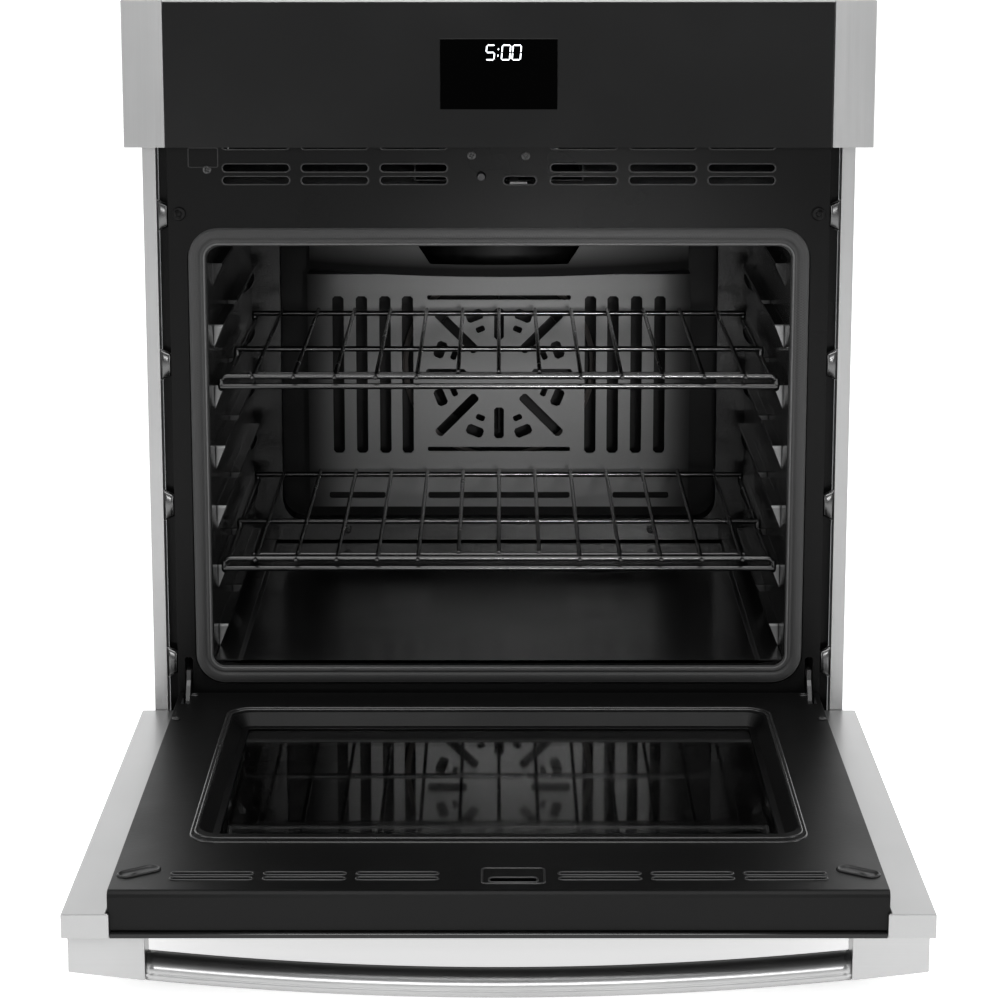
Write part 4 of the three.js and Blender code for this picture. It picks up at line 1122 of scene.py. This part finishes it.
def stroke(x, z, half, along):
    """Flat six-sided stroke with pointed ends, 0.1 mm in front of the lens."""
    a = np.array([-half, -half + SEGMENT / 2, half - SEGMENT / 2, half])[:, None]
    b = SEGMENT / 2 * np.array([0.0, 1.0, 1.0, 0.0])[:, None] * np.array([-1.0, 1.0])[None, :]
    u, v = a * along[0] - b * along[1], a * along[1] + b * along[0]
    slant = 0.08 * (z + v - PANEL_MIDDLE)
    face = on_chassis(x + u + slant, 0.5, z + v)
    back = on_chassis(x + u + slant, 0.59, z + v)
    return closed_slab(face, back)


lit, lit_tree, lit_shader = material("display_light", Emission_Strength=3.0, Roughness=0.4,
                                     Base_Color=(0.8, 0.85, 0.9, 1))
lit_tree.links.new(
    add_mix(lit_tree, add_noise(lit_tree, object_place(lit_tree), 800.0),
            (0.75, 0.8, 0.85, 1), (1.0, 1.0, 1.0, 1)),
    lit_shader.inputs["Emission Color"],
)
DIGIT_MIDDLE = 680.4
strokes = []
for x, letters in DIGIT_PLACES:
    for letter in letters:
        (dx, dz), half, along = segment_outline(letter)
        strokes += stroke(x + dx, DIGIT_MIDDLE + dz, half, along)
for dz in (-2.8, 2.8):
    strokes += stroke(COLON_X, DIGIT_MIDDLE + dz, 0.9, (0.0, 1.0))
piece("display_digits", strokes, lit, "root", smooth=False)


# ---- Racks ----------------------------------------------------------------------------------
# Two wire shelves, welded from drawn steel wire and plated, the plating near-black. The deck wires
# end in round tips past the front rail, and the middle three stop at a short cross wire.
LEDGE_TOPS = {"rack_lower": 181.0, "rack_upper": 357.4}
RACK_BODIES = {"rack_lower": "lower_rack", "rack_upper": "upper_rack"}
RACK_HALF, RACK_FRONT, RACK_MIDDLE, RACK_REAR = 261.5, 60.0, 232.0, 452.0
RAIL_RADIUS, DECK_RADIUS, CROSS_RADIUS = 2.8, 2.0, 2.0
DECK_PITCH = 38.6


def wire(path, radius, sides=14, tip=1.0):
    """Circle carried along a path in millimetres, closed by a half ball at each end.

    Ring t has the path's point plus radius x (cos s x side + sin s x up), where side and up
    are square to the path's tangent. At the ends the ring shrinks as a ball's does.
    """
    path = np.asarray(path, float)
    tangent = np.gradient(path, axis=0)
    tangent /= np.linalg.norm(tangent, axis=1)[:, None]
    lean = np.linspace(0, math.pi / 2, 6)
    first = path[0] - tangent[0] * (radius * tip * np.cos(lean))[:, None]
    last = path[-1] + tangent[-1] * (radius * tip * np.cos(lean[::-1]))[:, None]
    middle = np.vstack([first, path[1:-1], last])
    girth = np.concatenate([np.sin(lean), np.ones(len(path) - 2), np.sin(lean[::-1])]) * radius
    tangent = np.vstack([np.repeat(tangent[:1], 6, 0), tangent[1:-1],
                         np.repeat(tangent[-1:], 6, 0)])
    spare = np.where(np.abs(tangent[:, 2:3]) > 0.8, [[0.0, 1.0, 0.0]], [[0.0, 0.0, 1.0]])
    side = np.cross(tangent, spare)
    side /= np.linalg.norm(side, axis=1)[:, None]
    up = np.cross(side, tangent)
    turn = np.linspace(0, 2 * math.pi, sides + 1)[None, :, None]
    ring = np.cos(turn) * side[:, None, :] + np.sin(turn) * up[:, None, :]
    points = middle[:, None, :] + girth[:, None, None] * ring
    return on_chassis(points[..., 0], points[..., 1], points[..., 2])


def straight(start, end, steps=2):
    """Evenly spaced points between two."""
    share = np.linspace(0, 1, steps)[:, None]
    return np.asarray(start, float) * (1 - share) + np.asarray(end, float) * share


def bent(corners, radius=9.0, steps=7):
    """Polyline whose inner corners are replaced by quadratic bends of the given reach."""
    corners = [np.asarray(c, float) for c in corners]
    points = [corners[0][None, :]]
    for before, corner, after in zip(corners, corners[1:], corners[2:]):
        reach_in = min(radius, np.linalg.norm(before - corner) / 2)
        reach_out = min(radius, np.linalg.norm(after - corner) / 2)
        a = corner + (before - corner) / np.linalg.norm(before - corner) * reach_in
        b = corner + (after - corner) / np.linalg.norm(after - corner) * reach_out
        t = np.linspace(0, 1, steps)[:, None]
        points.append((1 - t) ** 2 * a + 2 * t * (1 - t) * corner + t**2 * b)
    points.append(corners[-1][None, :])
    return np.vstack(points)


# The plating's colour is near-black, far darker than bare plated steel.
rack_wire, rack_tree, rack_shader = material("near_black_plating", Metallic=1.0)
use_group(rack_tree, BRUSHED_GRAIN, rack_shader, 0.000005, Colour=(0.08, 0.08, 0.08, 1),
          Roughness=0.25, Stretch=(60, 60, 60))


def rack_grids(ledge_top):
    """Side loops with their drop to the front lower rail, five cross wires and the deck."""
    side = ledge_top + 0.3 + RAIL_RADIUS
    deck = side + 12.5
    x, front, rear = RACK_HALF, RACK_FRONT, RACK_REAR
    grids = []
    loop = bent([(-x, rear + 2, deck - 4), (-x, rear + 2, side), (-x, front, side),
                 (-x, front, deck), (x, front, deck), (x, front, side), (x, rear + 2, side),
                 (x, rear + 2, deck - 4)], 7.0)
    grids.append(wire(loop, RAIL_RADIUS))
    grids.append(wire(straight((-x, front, side + 3), (x, front, side + 3)), RAIL_RADIUS))
    grids.append(wire(straight((-236, front + 29, deck - 3), (236, front + 29, deck - 3)),
                      CROSS_RADIUS))
    for y in (RACK_MIDDLE, rear):
        grids.append(wire(straight((-x, y, deck - 4), (x, y, deck - 4)), RAIL_RADIUS))
    for end in (-x, x):
        grids.append(wire(straight((end, RACK_MIDDLE, side), (end, RACK_MIDDLE, deck - 4)),
                          RAIL_RADIUS))
    for i in range(-6, 7):
        start = front + 26 if abs(i) <= 1 else front - 7
        grids.append(wire(straight((i * DECK_PITCH, start, deck),
                                   (i * DECK_PITCH, rear + 2, deck)), DECK_RADIUS))
    return grids


for rack, ledge_top in LEDGE_TOPS.items():
    piece("wire_" + rack, rack_grids(ledge_top), rack_wire, RACK_BODIES[rack],
          (rack,))


# ---- Door: front glass, side frames, liner and inner glass ----------------------------------
# The door hangs open on its hinges. A black glass front is bonded between two brushed steel
# side frames. The enamelled liner is pressed down round the window, and a clear glass lies in it.
LINER_FACE = 37.0
dress("door_front_glass", panel_glass, 0.0006)
steel_depth = brushed_steel("stainless_brushed_depth", ALONG_Y)
for side_name in ("left", "right"):
    dress("door_side_frame_" + side_name, steel_depth, 0.0007)
    dress("door_hinge_body_" + side_name, zinc, 0.0003)
dress("glass_retainer", black_enamel, 0.0004)
liner_enamel = enamel("liner_enamel", 0.002, 0.02, 0.38, shine=0.16)
dress("door_liner", liner_enamel, 0.0012)
dress("door_inner_glass", clear_glass("door_glass", (0.6, 0.6, 0.6, 1)), 0.0008)

BEAD_RUNS = ((252.0, 97.6, 472.6, 22.0), (249.2, 103.0, 462.0, 19.5))
beads = []
for half, low, high, radius in BEAD_RUNS:
    path, out = rounded_path(-half, half, low, high, radius, 12)
    beads.append(on_open_door(*bead_on(path, out, LINER_FACE, round_section(1.4) * [1.0, -0.8])))
# Painted highlight: the beads' enamel is paler than the liner's, as light along the beads.
bead_enamel = enamel("window_beads_painted_highlight", 0.015, 0.03, 0.26, shine=0.6)
piece("liner_window_beads", beads, bead_enamel, "door")

LINER_VENT_FIRST, LINER_VENT_PITCH, LINER_VENT_ROWS = 79.6, 73, (545.6, 557.1)
LINER_VENT_HALF = (32.25, 3.25)
LATCH_RECESSES = ((11.5, 560.0, 19.0, 5.5), (11.5, 551.0, 24.5, 17.5))
LINER_RIM_RADIUS, LINER_RIM_CORNER = 0.9, 3.4
liner_slots = [(side * (LINER_VENT_FIRST + LINER_VENT_PITCH * i), z, *LINER_VENT_HALF)
               for i in range(3) for side in (-1, 1) for z in LINER_VENT_ROWS]
liner_slots += LATCH_RECESSES
# Painted highlight: the rims' enamel is paler than the liner's, as light along the slot edges.
rim_enamel = enamel("liner_rims_painted_highlight", 0.02, 0.05, 0.3, shine=0.5)
piece("liner_slot_rims",
      slot_rims(on_open_door, liner_slots, LINER_FACE, LINER_RIM_RADIUS,
                corner=LINER_RIM_CORNER),
      rim_enamel, "door")

INSERT_PLACE, INSERT_HALF, INSERT_TILT = (284.0, 542.0), (19.0, 7.6), 0.6


def corner_insert(side):
    """Slanted oblong plug: its outline shrunk towards the middle, with a raised rim and a boss.

    Ring r of the outline stands 0.9 mm at r = 0.93, is sunk 0.5 mm inside that, and rises again
    in a low boss about the middle of its outer half.
    """
    path, _ = rounded_path(-INSERT_HALF[0], INSERT_HALF[0], -INSERT_HALF[1], INSERT_HALF[1],
                           INSERT_HALF[1] - 0.1, 10)
    ring = np.array([0.0, 0.25, 0.5, 0.7, 0.8, 0.86, 0.93, 0.98, 1.0, 0.0])[:, None]
    stand = np.array([-0.1, -0.1, -0.1, -0.1, 0.0, 1.0, 1.5, 0.8, -0.2, -0.4])[:, None]
    along, across = path[None, :, 0] * ring, path[None, :, 1] * ring
    boss = 0.9 * np.exp(-(((along - 6.5) ** 2 + across**2) / 9.0) ** 2) * (stand > -0.3)
    x = side * (INSERT_PLACE[0] + along * math.cos(INSERT_TILT) - across * math.sin(INSERT_TILT))
    z = INSERT_PLACE[1] + along * math.sin(INSERT_TILT) + across * math.cos(INSERT_TILT)
    return on_open_door(x, LINER_FACE + stand + boss, z)


plug_grey = enamel("corner_plug_grey", 0.016, 0.05, 0.4, shine=0.4)
piece("liner_corner_plugs", [corner_insert(side) for side in (-1, 1)], plug_grey, "door")


def liner_screw_place(x, y, z):
    """A screw drawn on a sheet that faces the front, laid on the open door's liner."""
    return on_open_door(x, 2 * LINER_FACE - np.asarray(y, float), z)


LINER_SCREWS = ((289.0, 57.0), (298.5, 133.0))
piece("liner_screws",
      [screw_head(liner_screw_place, side * x, z, LINER_FACE, 3.8, 2.0, 0.4 + x + side)
       for side in (-1, 1) for x, z in LINER_SCREWS],
      plated, "door")


# ---- Handle ---------------------------------------------------------------------------------
# A solid brushed steel bar bowed outwards, between two end blocks that take it to the door. A
# narrow flat runs along its outer face, and a crease parts that from the rounded upper side.
HANDLE_OUT, HANDLE_BOW = 55.2, 1.93e-4
HANDLE_LOW, HANDLE_HIGH, HANDLE_THICK = 548.0, 576.0, 19.0
BAR_END = 276.5
CREASE = 6.0


def bar_section():
    """Depth from the outer face and height: a flat face, a crease, then round sides."""
    rise = np.linspace(0, 1, 14)
    upper_u = CREASE + (HANDLE_THICK - CREASE) * rise
    upper_v = HANDLE_HIGH - 0.6 - 9.0 * rise**2.6
    lower_v = HANDLE_LOW + 0.6 + 9.0 * rise**2.6
    u = np.concatenate([[0.0, 0.4, CREASE - 0.8, CREASE], upper_u[1:],
                        upper_u[::-1][:-1], [CREASE, CREASE - 0.8, 0.4, 0.0, 0.0]])
    v = np.concatenate([[HANDLE_HIGH - 2.2, HANDLE_HIGH - 1.2, HANDLE_HIGH, HANDLE_HIGH - 0.6],
                        upper_v[1:], lower_v[::-1][:-1],
                        [HANDLE_LOW + 0.6, HANDLE_LOW, HANDLE_LOW + 1.2, HANDLE_LOW + 2.2,
                         HANDLE_HIGH - 2.2]])
    return u, v


def handle_outer(x):
    """How far the outer face stands in front of the door, falling with the square of x."""
    return -(HANDLE_OUT - HANDLE_BOW * x**2)


def bowed_bar():
    """The section carried along x, each ring shifted by the bow, drawn in at both ends."""
    u, v = bar_section()
    x = np.linspace(-BAR_END, BAR_END, 81)[:, None]
    y = handle_outer(x) + u[None, :]
    z = v[None, :] + 0 * x
    grid = on_open_door(x + 0 * y, y, z)
    middle_u, middle_v = HANDLE_THICK / 2, (HANDLE_LOW + HANDLE_HIGH) / 2
    ends = []
    for end in (-BAR_END, BAR_END):
        share = np.array([1.0, 0.0])[:, None]
        ey = handle_outer(end) + middle_u + (u[None, :] - middle_u) * share
        ez = middle_v + (v[None, :] - middle_v) * share
        ends.append(on_open_door(end + 0 * ey, ey, ez))
    return [grid, *ends]


handle_steel = brushed_steel("stainless_brushed_handle", ALONG_X, 0.3, (0.42, 0.42, 0.42, 1),
                             0.000003)
piece("bowed_handle_bar", bowed_bar(), handle_steel, "door",
      ("handle_bar",))
for side_name in ("left", "right"):
    dress("handle_end_" + side_name, handle_steel, 0.0008)
